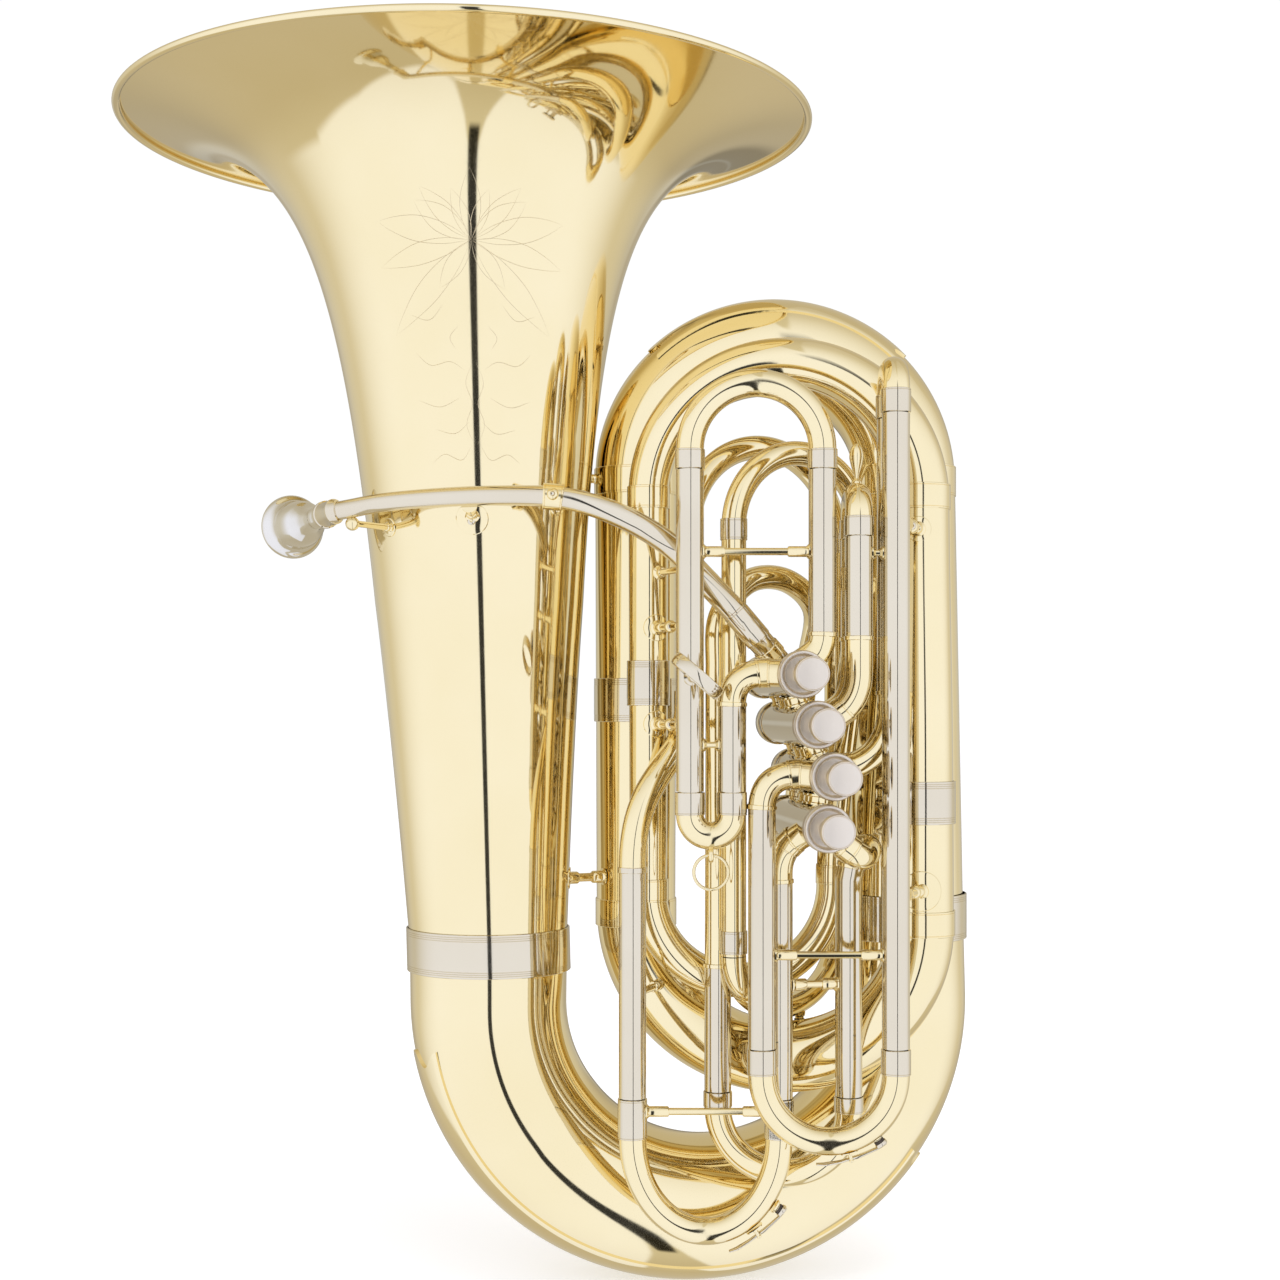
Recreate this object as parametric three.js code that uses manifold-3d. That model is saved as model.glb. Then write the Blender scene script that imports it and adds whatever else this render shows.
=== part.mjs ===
// Contrabass tuba with four front-action piston valves, as separate tubes, slides, valves and fittings.
// Millimetres, +Z up. The bell opens upwards, +Y is the player's side and the valve buttons face -Y.
// While the pieces are built, x = 0 lies between the bell and the small tubing, y = 0 is the plane of the
// bell's axis and z = 0 is the floor level of the bottom bow. The exported group is centred on its own
// bounding box in x and y and stands on z = 0.
import * as THREE from "three";
import { mergeVertices } from "three/addons/utils/BufferGeometryUtils.js";
import Module from "manifold-3d";

const wasm = await Module();
wasm.setup();

// ---------------------------------------------------------------- driving dimensions

const GAP = 0.3;              // clearance between neighbouring solids
const WALL = 1.2;             // wall of the large tubes
const THIN_WALL = 1.0;        // wall of the small tubes
const FERRULE_WALL = 0.9;

const RIM_RADIUS = 251;       // bell rim, 502 mm across
const RIM_Z = 842;            // height of the rim
const RIM_WIRE = 5;           // height of the rolled rim
const BELL_END_Z = 240;       // joint of bell and bottom bow
const BELL_X = -110.5;        // bell axis at that joint
const BELL_LEAN = 0.0262;     // sideways run of the axis per mm of height, towards -X
const FLARE_START = 14;       // constants of the flare formula
const FLARE_POWER = 0.368;
const CONE_FROM = 350;        // below this depth the throat narrows faster
const CONE_RATE = 0.0215;

const BACK_Y = 30;            // plane of the two back branches
const RIGHT_BACK_X = 197;
const LEFT_BACK_X = -3;
const RIGHT_FRONT = { x: 199, lowY: -47, highY: -36 };
const LEFT_FRONT = { x: 6, y: -35 };

const SLEEVE = 9.5;           // outer radius of a slide's outer tube
const INNER_SLIDE = 7.5;      // outer radius of a slide's inner tube
const SMALL_BRASS = 8.7;      // outer radius of the plain small brass tube
const ROD = 2.6;              // radius of a brace rod

const FRONT_ROW_Y = -98;      // plane of the first and third valve slides
const REAR_LEG_Y = -68;       // rear legs of the second and third slides
const MAIN_SLIDE_Y = -74;

const VALVE_TURN = THREE.MathUtils.degToRad(6.7);
const VALVE_FRONT_Y = -122;   // face of the top caps
const VALVE_FRONTS = [[109.5, 438.2], [119.8, 404.2], [131.0, 369.4], [126.5, 334.5]];
const CASING = 14.6;
const CASING_BORE = 13.1;
const PISTON = 12.5;
const PORT = 7.6;
const STROKE_ROOM = 22;       // from the cap's face to the underside of the button

const SIDES = { bell: 24, large: 16, medium: 12, small: 8, valve: 12, rod: 6 };

// ---------------------------------------------------------------- materials

const LACQUERED_BRASS = { color: 0xe3c067, roughness: 0.16, metalness: 1 };
const NICKEL_SILVER = { color: 0xd9d3c6, roughness: 0.2, metalness: 1 };
const SILVER_PLATE = { color: 0xe9e9e6, roughness: 0.12, metalness: 1 };
const SPRING_STEEL = { color: 0x8d9094, roughness: 0.35, metalness: 1 };

const tuba = new THREE.Group();

function addPiece(name, geometry, finish, parent = tuba) {
  const mesh = new THREE.Mesh(geometry, new THREE.MeshStandardMaterial(finish));
  mesh.name = name;
  parent.add(mesh);
  return mesh;
}

// ---------------------------------------------------------------- paths

const at = (x, y, z) => new THREE.Vector3(x, y, z);

// A bend that leaves `from` along `rise`, turns through half a circle or ellipse, and comes back at `to`.
class Bend extends THREE.Curve {
  constructor(from, to, rise) {
    super();
    this.middle = from.clone().add(to).multiplyScalar(0.5);
    this.half = from.clone().sub(to).multiplyScalar(0.5);
    this.rise = rise;
  }

  getPoint(t, target = new THREE.Vector3()) {
    const turn = Math.PI * t;
    return target.copy(this.middle)
      .addScaledVector(this.half, Math.cos(turn))
      .addScaledVector(this.rise, Math.sin(turn));
  }
}

const line = (from, to) => ({ curve: new THREE.LineCurve3(from, to), steps: 1 });
const bend = (from, to, rise, steps) => ({ curve: new Bend(from, to, rise), steps });
const corner = (from, via, to, steps) => ({ curve: new THREE.QuadraticBezierCurve3(from, via, to), steps });
const through = (points) => new THREE.CatmullRomCurve3(points, false, "centripetal");
const spline = (points, steps) => ({ curve: through(points), steps });

// Points and directions along joined curves, each with its share of the whole length, 0 to 1.
function stationsOf(pieces) {
  const stations = [];
  let length = 0;
  for (const { curve, steps } of pieces) {
    const first = stations.length ? 1 : 0;
    for (let i = first; i <= steps; i += 1) {
      const point = curve.getPoint(i / steps);
      const tangent = curve.getTangent(i / steps);
      if (stations.length) {
        length += point.distanceTo(stations.at(-1).point);
      }
      stations.push({ point, tangent, length });
    }
  }
  return stations.map((s) => ({ ...s, share: s.length / length }));
}

// Gives every station two directions across the path that turn as little as possible along it.
function addFrames(stations) {
  const first = stations[0].tangent;
  let across = Math.abs(first.y) > 0.9 ? at(0, 0, 1) : at(0, 1, 0);
  for (const s of stations) {
    across = across.clone().addScaledVector(s.tangent, -across.dot(s.tangent)).normalize();
    s.across = across;
    s.other = s.tangent.clone().cross(across);
  }
  return stations;
}

// ---------------------------------------------------------------- closed sweeps

function placeRing(positions, station, section) {
  for (const [u, v] of section) {
    const p = station.point.clone().addScaledVector(station.across, u).addScaledVector(station.other, v);
    positions.push(p.x, p.y, p.z);
  }
}

function stitchRings(index, first, second, count, flip) {
  for (let i = 0; i < count; i += 1) {
    const j = (i + 1) % count;
    const [a, b, c, d] = [first + i, first + j, second + j, second + i];
    index.push(...(flip ? [a, c, b, a, d, c] : [a, b, c, a, c, d]));
  }
}

function meshFrom(positions, index) {
  const geometry = new THREE.BufferGeometry();
  geometry.setAttribute("position", new THREE.Float32BufferAttribute(positions, 3));
  geometry.setIndex(index);
  return geometry;
}

const circle = (radius, sides) => Array.from({ length: sides }, (_, i) => {
  const turn = (2 * Math.PI * i) / sides;
  return [radius * Math.cos(turn), radius * Math.sin(turn)];
});

// Radius along a path: the given values stand at even shares of its length.
function taper(values) {
  return (share) => {
    const place = share * (values.length - 1);
    const i = Math.min(Math.floor(place), values.length - 2);
    return THREE.MathUtils.lerp(values[i], values[i + 1], place - i);
  };
}

// An open-ended tube with a wall; `radius` is a number, the radii along the path, or a function of share.
function hollowTube(pieces, radius, wall, sides) {
  const stations = addFrames(stationsOf(pieces));
  const ends = Array.isArray(radius) ? radius : [radius, radius];
  const radiusAt = typeof radius === "function" ? radius : taper(ends);
  const positions = [];
  const index = [];
  const rings = stations.length;
  for (const s of stations) placeRing(positions, s, circle(radiusAt(s.share), sides));
  for (const s of stations) placeRing(positions, s, circle(radiusAt(s.share) - wall, sides));
  for (let i = 0; i + 1 < rings; i += 1) {
    stitchRings(index, i * sides, (i + 1) * sides, sides, false);
    stitchRings(index, (rings + i) * sides, (rings + i + 1) * sides, sides, true);
  }
  stitchRings(index, 0, rings * sides, sides, true);
  stitchRings(index, (rings - 1) * sides, (2 * rings - 1) * sides, sides, false);
  return meshFrom(positions, index);
}

// A solid bar along framed stations whose cross-section `sectionAt(share)` is a closed outline.
function sweepStations(stations, sectionAt) {
  const positions = [];
  const index = [];
  const count = sectionAt(0).length;
  stations.forEach((s, i) => {
    placeRing(positions, s, sectionAt(s.share));
    if (i > 0) stitchRings(index, (i - 1) * count, i * count, count, false);
  });
  const outline = sectionAt(0).map(([u, v]) => new THREE.Vector2(u, v));
  const last = (stations.length - 1) * count;
  for (const [a, b, c] of THREE.ShapeUtils.triangulateShape(outline, [])) {
    index.push(a, c, b, last + a, last + b, last + c);
  }
  return meshFrom(positions, index);
}

const solidSweep = (pieces, sectionAt) => sweepStations(addFrames(stationsOf(pieces)), sectionAt);

const rod = (from, to, radius = ROD) => solidSweep([line(from, to)], () => circle(radius, SIDES.rod));

// A ring of round wire that closes on itself, in the plane of `side` and `up`.
function wireRing(centre, side, up, ringRadius, wireRadius, steps) {
  const geometry = new THREE.TorusGeometry(ringRadius, wireRadius, 5, steps);
  const facing = side.clone().cross(up);
  geometry.applyMatrix4(new THREE.Matrix4().makeBasis(side, up, facing).setPosition(centre));
  return geometry;
}

// ---------------------------------------------------------------- joining and cutting

function toSolid(geometry) {
  const bare = geometry.clone();
  bare.deleteAttribute("normal");
  bare.deleteAttribute("uv");
  const merged = mergeVertices(bare, 1e-4);
  return new wasm.Manifold(new wasm.Mesh({
    numProp: 3,
    vertProperties: new Float32Array(merged.attributes.position.array),
    triVerts: new Uint32Array(merged.index.array),
  }));
}

function toGeometry(solid) {
  const mesh = solid.getMesh();
  return meshFrom(Array.from(mesh.vertProperties), Array.from(mesh.triVerts));
}

const join = (...parts) => toGeometry(parts.map(toSolid).reduce((sum, part) => sum.add(part)));
const cut = (geometry, ...tools) => toGeometry(
  tools.map(toSolid).reduce((rest, tool) => rest.subtract(tool), toSolid(geometry)),
);

// ---------------------------------------------------------------- bell

function bellRadius(z) {
  const depth = RIM_Z - z;
  const flare = RIM_RADIUS * (FLARE_START / (FLARE_START + depth)) ** FLARE_POWER;
  return flare - CONE_RATE * Math.max(0, depth - CONE_FROM);
}

const bellAxisX = (z) => BELL_X - BELL_LEAN * (z - BELL_END_Z);

// Turns a closed (radius, z) outline about the leaning bell axis.
function turnedOnBell(outline) {
  const points = [...outline, outline[0]].map(([r, z]) => new THREE.Vector2(r, z));
  const geometry = new THREE.LatheGeometry(points, SIDES.bell);
  geometry.rotateX(Math.PI / 2);
  const place = geometry.attributes.position;
  for (let i = 0; i < place.count; i += 1) place.setX(i, place.getX(i) + bellAxisX(place.getZ(i)));
  return geometry;
}

function bellShell() {
  const rings = 12;
  const top = RIM_Z - RIM_WIRE / 2;
  const outer = [];
  for (let i = 0; i <= rings; i += 1) {
    const z = BELL_END_Z + GAP + (top - BELL_END_Z - GAP) * (1 - (1 - i / rings) ** 2.6);
    outer.push([bellRadius(z), z]);
  }
  const edge = RIM_RADIUS - RIM_WIRE - GAP;
  const kept = outer.filter(([r]) => r < edge - 6);
  kept.push([edge, RIM_Z - FLARE_START * ((RIM_RADIUS / edge) ** (1 / FLARE_POWER) - 1)]);
  const inner = kept.map(([r, z]) => {
    const slope = (bellRadius(z + 0.5) - bellRadius(z - 0.5));
    const lean = Math.atan(slope);
    return [r - WALL * Math.cos(lean), Math.min(z + WALL * Math.sin(lean), RIM_Z - 0.5)];
  });
  inner[0][1] = kept[0][1];
  return turnedOnBell([...kept, ...inner.reverse()]);
}

function bellRim() {
  const inside = RIM_RADIUS - RIM_WIRE;
  const bottom = RIM_Z - RIM_WIRE;
  return turnedOnBell([
    [inside, bottom + 1], [inside + 1, bottom], [RIM_RADIUS - 1, bottom], [RIM_RADIUS, bottom + 1.2],
    [RIM_RADIUS, RIM_Z - 1.2], [RIM_RADIUS - 1, RIM_Z], [inside + 0.5, RIM_Z], [inside, RIM_Z - 0.5],
  ]);
}

function bellFerrule() {
  const [low, high] = [BELL_END_Z - 15, BELL_END_Z + 16];
  const radius = bellRadius(high) + 0.2;
  return turnedOnBell([
    [radius + GAP, low], [radius + GAP + FERRULE_WALL, low], [radius + GAP + FERRULE_WALL, high],
    [radius + GAP, high],
  ]);
}

addPiece("bell", bellShell(), LACQUERED_BRASS);
addPiece("bell_rim", bellRim(), LACQUERED_BRASS);
addPiece("bell_ferrule", bellFerrule(), NICKEL_SILVER);

// ---------------------------------------------------------------- large tubing

const BOTTOM_BOW = { z: 203.5, drop: 154, radii: [57.2, 55.5, 51.5, 47, 43.3] };
const RIGHT_BACK = { low: 262, high: 583, radii: [43.3, 37.3] };
const OUTER_TOP = { z: 583.4, rise: 99, radii: [37.2, 36.4, 35, 32.5, 30.4] };
const LEFT_BACK = { low: 264, high: 583, radii: [29.3, 30.3] };
const SECOND_BOTTOM = { z: 263.6, drop: 101, radii: [29.2, 26, 22.6] };
const RIGHT_FRONT_BRANCH = { low: 264, turn: 372, high: 565, radii: [22.5, 21] };
const SECOND_TOP = { z: 565.4, rise: 96.5, radii: [20.9, 17, 14.3] };
const LEFT_FRONT_BRANCH = { low: 286.4, high: 565, radii: [13.4, 14.2] };

const BOW_START = at(BELL_X, 0, BELL_END_Z);
const BOW_LEFT = at(BELL_X, 0, BOTTOM_BOW.z);
const BOW_RIGHT = at(RIGHT_BACK_X, BACK_Y, BOTTOM_BOW.z);
const BOW_END = at(RIGHT_BACK_X, BACK_Y, RIGHT_BACK.low - GAP);
const down = (drop) => at(0, 0, -drop);
const up = (rise) => at(0, 0, rise);

const bottomBowPath = () => [
  line(BOW_START, BOW_LEFT),
  bend(BOW_LEFT, BOW_RIGHT, down(BOTTOM_BOW.drop), 10),
  line(BOW_RIGHT, BOW_END),
];

const outerTopPath = () => [
  bend(at(RIGHT_BACK_X, BACK_Y, OUTER_TOP.z), at(LEFT_BACK_X, BACK_Y, OUTER_TOP.z), up(OUTER_TOP.rise), 9),
];

// Sheet over the outside of a bow, from one station of its path to another. It covers four of the tube's
// sides, and the outside of both bows lies on the same side of their paths.
function guardSheet(path, radii, first, last) {
  const stations = addFrames(stationsOf(path)).slice(first, last + 1);
  const radiusAt = taper(radii);
  const turns = [-2, -1, 0, 1, 2].map((i) => -Math.PI / 2 + (i * 2 * Math.PI) / SIDES.large);
  const ring = (radius, list) => list.map((turn) => [radius * Math.cos(turn), radius * Math.sin(turn)]);
  return sweepStations(stations, (share) => {
    const inner = radiusAt(share) + 2 * GAP;
    return [...ring(inner + 1, turns), ...ring(inner, turns.toReversed())];
  });
}

function straightTube(x, y, branch, sides) {
  return hollowTube([line(at(x, y, branch.low), at(x, y, branch.high))], branch.radii, WALL, sides);
}

function sleeveAround(x, y, low, high, radius, sides) {
  const outside = radius + GAP + FERRULE_WALL;
  return hollowTube([line(at(x, y, low), at(x, y, high))], outside, FERRULE_WALL, sides);
}

function rightFrontBranch() {
  const { low, turn, high, radii } = RIGHT_FRONT_BRANCH;
  const level = (y, z) => at(RIGHT_FRONT.x, y, z);
  const step = (high - turn) / 3;
  const sway = new THREE.CubicBezierCurve3(
    level(RIGHT_FRONT.lowY, turn),
    level(RIGHT_FRONT.lowY, turn + step),
    level(RIGHT_FRONT.highY, high - step),
    level(RIGHT_FRONT.highY, high),
  );
  const foot = line(level(RIGHT_FRONT.lowY, low), level(RIGHT_FRONT.lowY, turn));
  return hollowTube([foot, { curve: sway, steps: 4 }], radii, WALL, SIDES.medium);
}

function secondBottomBow() {
  const from = at(LEFT_BACK_X, BACK_Y, SECOND_BOTTOM.z);
  const to = at(RIGHT_FRONT.x, RIGHT_FRONT.lowY, SECOND_BOTTOM.z);
  return hollowTube([bend(from, to, down(SECOND_BOTTOM.drop), 8)], SECOND_BOTTOM.radii, WALL, SIDES.medium);
}

function secondTopBow() {
  const from = at(RIGHT_FRONT.x, RIGHT_FRONT.highY, SECOND_TOP.z);
  const to = at(LEFT_FRONT.x, LEFT_FRONT.y, SECOND_TOP.z);
  return hollowTube([bend(from, to, up(SECOND_TOP.rise), 8)], SECOND_TOP.radii, WALL, SIDES.medium);
}

addPiece("bottom_bow", hollowTube(bottomBowPath(), BOTTOM_BOW.radii, WALL, SIDES.large), LACQUERED_BRASS);
addPiece("bottom_bow_guard", guardSheet(bottomBowPath(), BOTTOM_BOW.radii, 2, 10), LACQUERED_BRASS);
addPiece("bottom_bow_ferrule", sleeveAround(RIGHT_BACK_X, BACK_Y, 245, 278, 44.7, SIDES.large),
  NICKEL_SILVER);
addPiece("right_back_branch", straightTube(RIGHT_BACK_X, BACK_Y, RIGHT_BACK, SIDES.large), LACQUERED_BRASS);
addPiece("outer_top_bow", hollowTube(outerTopPath(), OUTER_TOP.radii, WALL, SIDES.large), LACQUERED_BRASS);
addPiece("outer_top_guard", guardSheet(outerTopPath(), OUTER_TOP.radii, 2, 6), LACQUERED_BRASS);
addPiece("left_back_branch", straightTube(LEFT_BACK_X, BACK_Y, LEFT_BACK, SIDES.medium), LACQUERED_BRASS);
addPiece("left_back_ferrule", sleeveAround(LEFT_BACK_X, BACK_Y, 405, 437, 30.1, SIDES.medium),
  NICKEL_SILVER);
addPiece("second_bottom_bow", secondBottomBow(), LACQUERED_BRASS);
addPiece("right_front_branch", rightFrontBranch(), LACQUERED_BRASS);
addPiece("right_front_ferrule", sleeveAround(RIGHT_FRONT.x, RIGHT_FRONT.lowY, 334, 364, 22.5, SIDES.medium),
  NICKEL_SILVER);
addPiece("second_top_bow", secondTopBow(), LACQUERED_BRASS);
addPiece("left_front_branch", straightTube(LEFT_FRONT.x, LEFT_FRONT.y, LEFT_FRONT_BRANCH, SIDES.small),
  LACQUERED_BRASS);
addPiece("left_front_ferrule", sleeveAround(LEFT_FRONT.x, LEFT_FRONT.y, 417, 449, 14.1, SIDES.small),
  NICKEL_SILVER);

// ---------------------------------------------------------------- valves

const AXIS = at(-Math.sin(VALVE_TURN), Math.cos(VALVE_TURN), 0);
const ACROSS = at(Math.cos(VALVE_TURN), Math.sin(VALVE_TURN), 0);

// A point near valve `n` (1 to 4): `depth` behind the cap's face, `reach` from the axis at `turn` degrees
// above the valve's own right-hand side.
function nearValve(n, depth, turn, reach) {
  const [x, z] = VALVE_FRONTS[n - 1];
  const angle = THREE.MathUtils.degToRad(turn);
  return at(x, VALVE_FRONT_Y, z).addScaledVector(AXIS, depth)
    .addScaledVector(ACROSS, reach * Math.cos(angle))
    .add(at(0, 0, reach * Math.sin(angle)));
}

// The direction, in degrees, from valve `a` towards its neighbour `b`.
function turnTowards(a, b) {
  const [xa, za] = VALVE_FRONTS[a - 1];
  const [xb, zb] = VALVE_FRONTS[b - 1];
  return THREE.MathUtils.radToDeg(Math.atan2(zb - za, (xb - xa) * Math.cos(VALVE_TURN)));
}

const TOP_ROW = 24;           // depths of the rows of ports behind the cap's face
const MIDDLE_ROW = 54;
const LOW_ROW = 86;
const CROSS_ROW = 70;

const VALVE_PORTS = [
  [[TOP_ROW, 176], [TOP_ROW, 52], [MIDDLE_ROW, 128], [CROSS_ROW, turnTowards(1, 2)]],
  [[TOP_ROW, 20], [MIDDLE_ROW, 20], [CROSS_ROW, turnTowards(2, 3)], [CROSS_ROW, turnTowards(2, 1)]],
  [[TOP_ROW, 178], [MIDDLE_ROW, 12], [CROSS_ROW, turnTowards(3, 4)], [CROSS_ROW, turnTowards(3, 2)]],
  [[TOP_ROW + 18, 212], [TOP_ROW, -38], [LOW_ROW, 232], [CROSS_ROW, turnTowards(4, 3)]],
];

const TOP_CAP_LENGTH = 12.5;
const CASING_ENDS = [8.4, 150.6];
const BOTTOM_CAP = [143, 155];
const PISTON_ENDS = [16, 126];
const BARREL_FROM = 97;       // the open spring barrel at the piston's lower end

// Turns a (radius, depth) outline about the valve's axis; it closes on itself unless it meets the axis.
function turnedOnValve(outline, sides) {
  const closes = outline[0][0] > 0;
  const points = (closes ? [...outline, outline[0]] : outline).map(([r, s]) => new THREE.Vector2(r, s));
  return new THREE.LatheGeometry(points, sides);
}

function placeOnValve(geometry, n) {
  const [x, z] = VALVE_FRONTS[n - 1];
  const place = new THREE.Matrix4().makeRotationZ(VALVE_TURN).setPosition(x, VALVE_FRONT_Y, z);
  return geometry.applyMatrix4(place);
}

function valveBarrel(n, radius, sides) {
  const ends = [-1, 160];
  const outline = [[0, ends[0]], [radius, ends[0]], [radius, ends[1]], [0, ends[1]]];
  return placeOnValve(turnedOnValve(outline, sides), n);
}

const clearOf = (n) => valveBarrel(n, (CASING + GAP) / Math.cos(Math.PI / SIDES.valve), SIDES.valve);

function casing(n) {
  const [front, back] = CASING_ENDS;
  const outline = [[CASING_BORE, front], [CASING, front], [CASING, back], [CASING_BORE, back]];
  const shell = turnedOnValve(outline, SIDES.valve);
  let body = placeOnValve(shell, n);
  if (n < 4) {
    const turn = turnTowards(n, n + 1);
    const way = line(nearValve(n, CROSS_ROW, turn, 10.5), nearValve(n, CROSS_ROW, turn, 20));
    const knuckle = hollowTube([way], PORT + 2, 2, SIDES.small);
    body = join(body, cut(knuckle, valveBarrel(n, (CASING + CASING_BORE) / 2, SIDES.valve)));
  }
  const bores = VALVE_PORTS[n - 1].map(([depth, turn]) => (
    rod(nearValve(n, depth, turn, 5), nearValve(n, depth, turn, CASING + 1), PORT)
  ));
  return cut(body, ...bores);
}

function topCap() {
  const rim = 16.3;
  return turnedOnValve([
    [4.6, 5], [12.9, 5], [13.8, 0], [rim - 0.6, 0], [rim, 0.8], [rim, TOP_CAP_LENGTH],
    [CASING + GAP + 0.1, TOP_CAP_LENGTH], [CASING + GAP + 0.1, 8], [4.6, 8],
  ], SIDES.valve);
}

function bottomCap() {
  const [front, back] = BOTTOM_CAP;
  return turnedOnValve([
    [0, back - 4], [CASING + GAP + 0.1, back - 4], [CASING + GAP + 0.1, front],
    [16, front], [16, back - 1.2], [14.8, back], [0, back],
  ], SIDES.valve);
}

// Piston with its stem and button, three slanting windways, and an open barrel that holds the spring.
function piston() {
  const [front, back] = PISTON_ENDS;
  const under = -STROKE_ROOM;
  const outline = [
    [0, under - 8.5], [10.8, under - 8.5], [11.6, under - 7.5], [11.6, under], [3.2, under], [3.2, front],
    [PISTON, front], [PISTON, back], [PISTON - 1.6, back], [PISTON - 1.6, BARREL_FROM], [0, BARREL_FROM],
  ];
  const body = turnedOnValve(outline, SIDES.valve);
  const windway = (from, to) => rod(from, to, 5.6);
  return cut(body,
    windway(at(-14, TOP_ROW + 4, 0), at(14, TOP_ROW + 8, 2)),
    windway(at(-14, MIDDLE_ROW - 7, -3), at(14, MIDDLE_ROW - 2, 3)),
    windway(at(0, CROSS_ROW + 8, -14), at(0, CROSS_ROW + 1, 14)));
}

class Coil extends THREE.Curve {
  constructor(radius, turns, from, to) {
    super();
    Object.assign(this, { radius, turns, from, to });
  }

  getPoint(t, target = new THREE.Vector3()) {
    const turn = 2 * Math.PI * this.turns * t;
    return target.set(this.radius * Math.cos(turn), THREE.MathUtils.lerp(this.from, this.to, t),
      this.radius * Math.sin(turn));
  }
}

function spring() {
  const curve = new Coil(8.6, 4, BARREL_FROM + 2, PISTON_ENDS[1] - 2);
  return solidSweep([{ curve, steps: 20 }], () => circle(0.9, 4));
}

for (let n = 1; n <= 4; n += 1) {
  addPiece(`valve_casing_${n}`, casing(n), NICKEL_SILVER);
  const [x, z] = VALVE_FRONTS[n - 1];
  const valve = new THREE.Group();
  valve.position.set(x, VALVE_FRONT_Y, z);
  valve.rotation.z = VALVE_TURN;
  addPiece(`top_cap_${n}`, topCap(), NICKEL_SILVER, valve);
  addPiece(`bottom_cap_${n}`, bottomCap(), NICKEL_SILVER, valve);
  addPiece(`piston_${n}`, piston(), NICKEL_SILVER, valve);
  addPiece(`spring_${n}`, spring(), SPRING_STEEL, valve);
  tuba.add(valve);
}

// ---------------------------------------------------------------- small tubing of the main bore

const RISER_FOOT = at(140, 0, 286);
const RISER_HEAD = at(160, -14, 542);
const FOURTH_LEG = at(65.5, -63, 542);
const FOURTH_LEG_FOOT = at(65.5, -63, 242);
const FIFTH_RISER = at(149, 60, 242);
const FIFTH_HEAD = at(149, 60, 540);
const FIFTH_LEG = at(34, -44, 540);
const MAIN_SLIDE = { left: -5.2, right: 96.3, top: 303, ends: 145.3, bend: 104, brace: 136 };

function thirdBottomBow() {
  const from = at(LEFT_FRONT.x, LEFT_FRONT.y, LEFT_FRONT_BRANCH.low - GAP);
  const foot = RISER_FOOT.clone();
  foot.z = from.z;
  const bulge = RISER_HEAD.clone().add(down(90));
  const riser = new THREE.CubicBezierCurve3(foot, foot.clone().add(up(90)), bulge, RISER_HEAD);
  const path = [bend(from, foot, down(67), 6), { curve: riser, steps: 5 }];
  return hollowTube(path, [13.4, 12.2, 11, 10.2, 9.4], THIN_WALL, SIDES.small);
}

function fourthTopArch() {
  const from = RISER_HEAD.clone().add(up(GAP));
  const path = [bend(from, FOURTH_LEG, up(54), 6), line(FOURTH_LEG, FOURTH_LEG_FOOT.clone().add(up(GAP)))];
  return hollowTube(path, SMALL_BRASS, THIN_WALL, SIDES.small);
}

function fifthBow() {
  const path = [
    bend(FOURTH_LEG_FOOT, FIFTH_RISER, down(44), 6),
    line(FIFTH_RISER, FIFTH_HEAD),
    bend(FIFTH_HEAD, FIFTH_LEG, up(66), 6),
    line(FIFTH_LEG, at(34, -44, 420)),
  ];
  return hollowTube(path, SMALL_BRASS, THIN_WALL, SIDES.small);
}

// S-shaped feed from the fifth bow's leg, and the left sleeve of the main slide below it.
function mainLeftSleeve() {
  const top = at(MAIN_SLIDE.left, MAIN_SLIDE_Y, MAIN_SLIDE.top);
  const foot = at(MAIN_SLIDE.left, MAIN_SLIDE_Y, MAIN_SLIDE.ends + GAP);
  const feed = new THREE.CubicBezierCurve3(at(34, -44, 419.7), at(34, -44, 372), at(-6, -74, 375), top);
  return hollowTube([{ curve: feed, steps: 6 }, line(top, foot)], SLEEVE, THIN_WALL, SIDES.small);
}

addPiece("third_bottom_bow", thirdBottomBow(), LACQUERED_BRASS);
addPiece("fourth_top_arch", fourthTopArch(), LACQUERED_BRASS);
addPiece("fifth_bow", fifthBow(), LACQUERED_BRASS);
addPiece("main_left_sleeve", mainLeftSleeve(), NICKEL_SILVER);

// ---------------------------------------------------------------- slide crooks

// A crook with two inner legs that run `inside` up their sleeves from `mouth`, its shoulders outside them.
function crook(legA, legB, mouth, bendStart, rise, inside, steps) {
  const out = Math.sign(rise.z);
  const level = (leg, z) => at(leg.x, leg.y, z);
  const shoulder = mouth + out * GAP;
  const body = hollowTube([
    line(level(legA, shoulder), level(legA, bendStart)),
    bend(level(legA, bendStart), level(legB, bendStart), rise, steps),
    line(level(legB, bendStart), level(legB, shoulder)),
  ], SLEEVE, SLEEVE - INNER_SLIDE + 0.9, SIDES.small);
  const innerLeg = (leg) => {
    const reach = line(level(leg, mouth - out * inside), level(leg, shoulder + out * 3));
    return hollowTube([reach], INNER_SLIDE, 0.9, SIDES.small);
  };
  return join(body, innerLeg(legA), innerLeg(legB));
}

// A level brace rod between two tubes of radius SLEEVE, its ends just inside their walls.
function braceBetween(from, to) {
  const way = to.clone().sub(from).normalize();
  const inset = SLEEVE - 0.8;
  return rod(from.clone().addScaledVector(way, inset), to.clone().addScaledVector(way, -inset));
}

function mainCrook() {
  const { left, right, ends, bend: turn, brace } = MAIN_SLIDE;
  const leg = (x, z) => at(x, MAIN_SLIDE_Y, z);
  const bow = crook(leg(left, 0), leg(right, 0), ends, turn, down(50.8), 90, 6);
  return join(bow, braceBetween(leg(left, brace), leg(right, brace)));
}

addPiece("main_slide_crook", mainCrook(), LACQUERED_BRASS);

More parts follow.
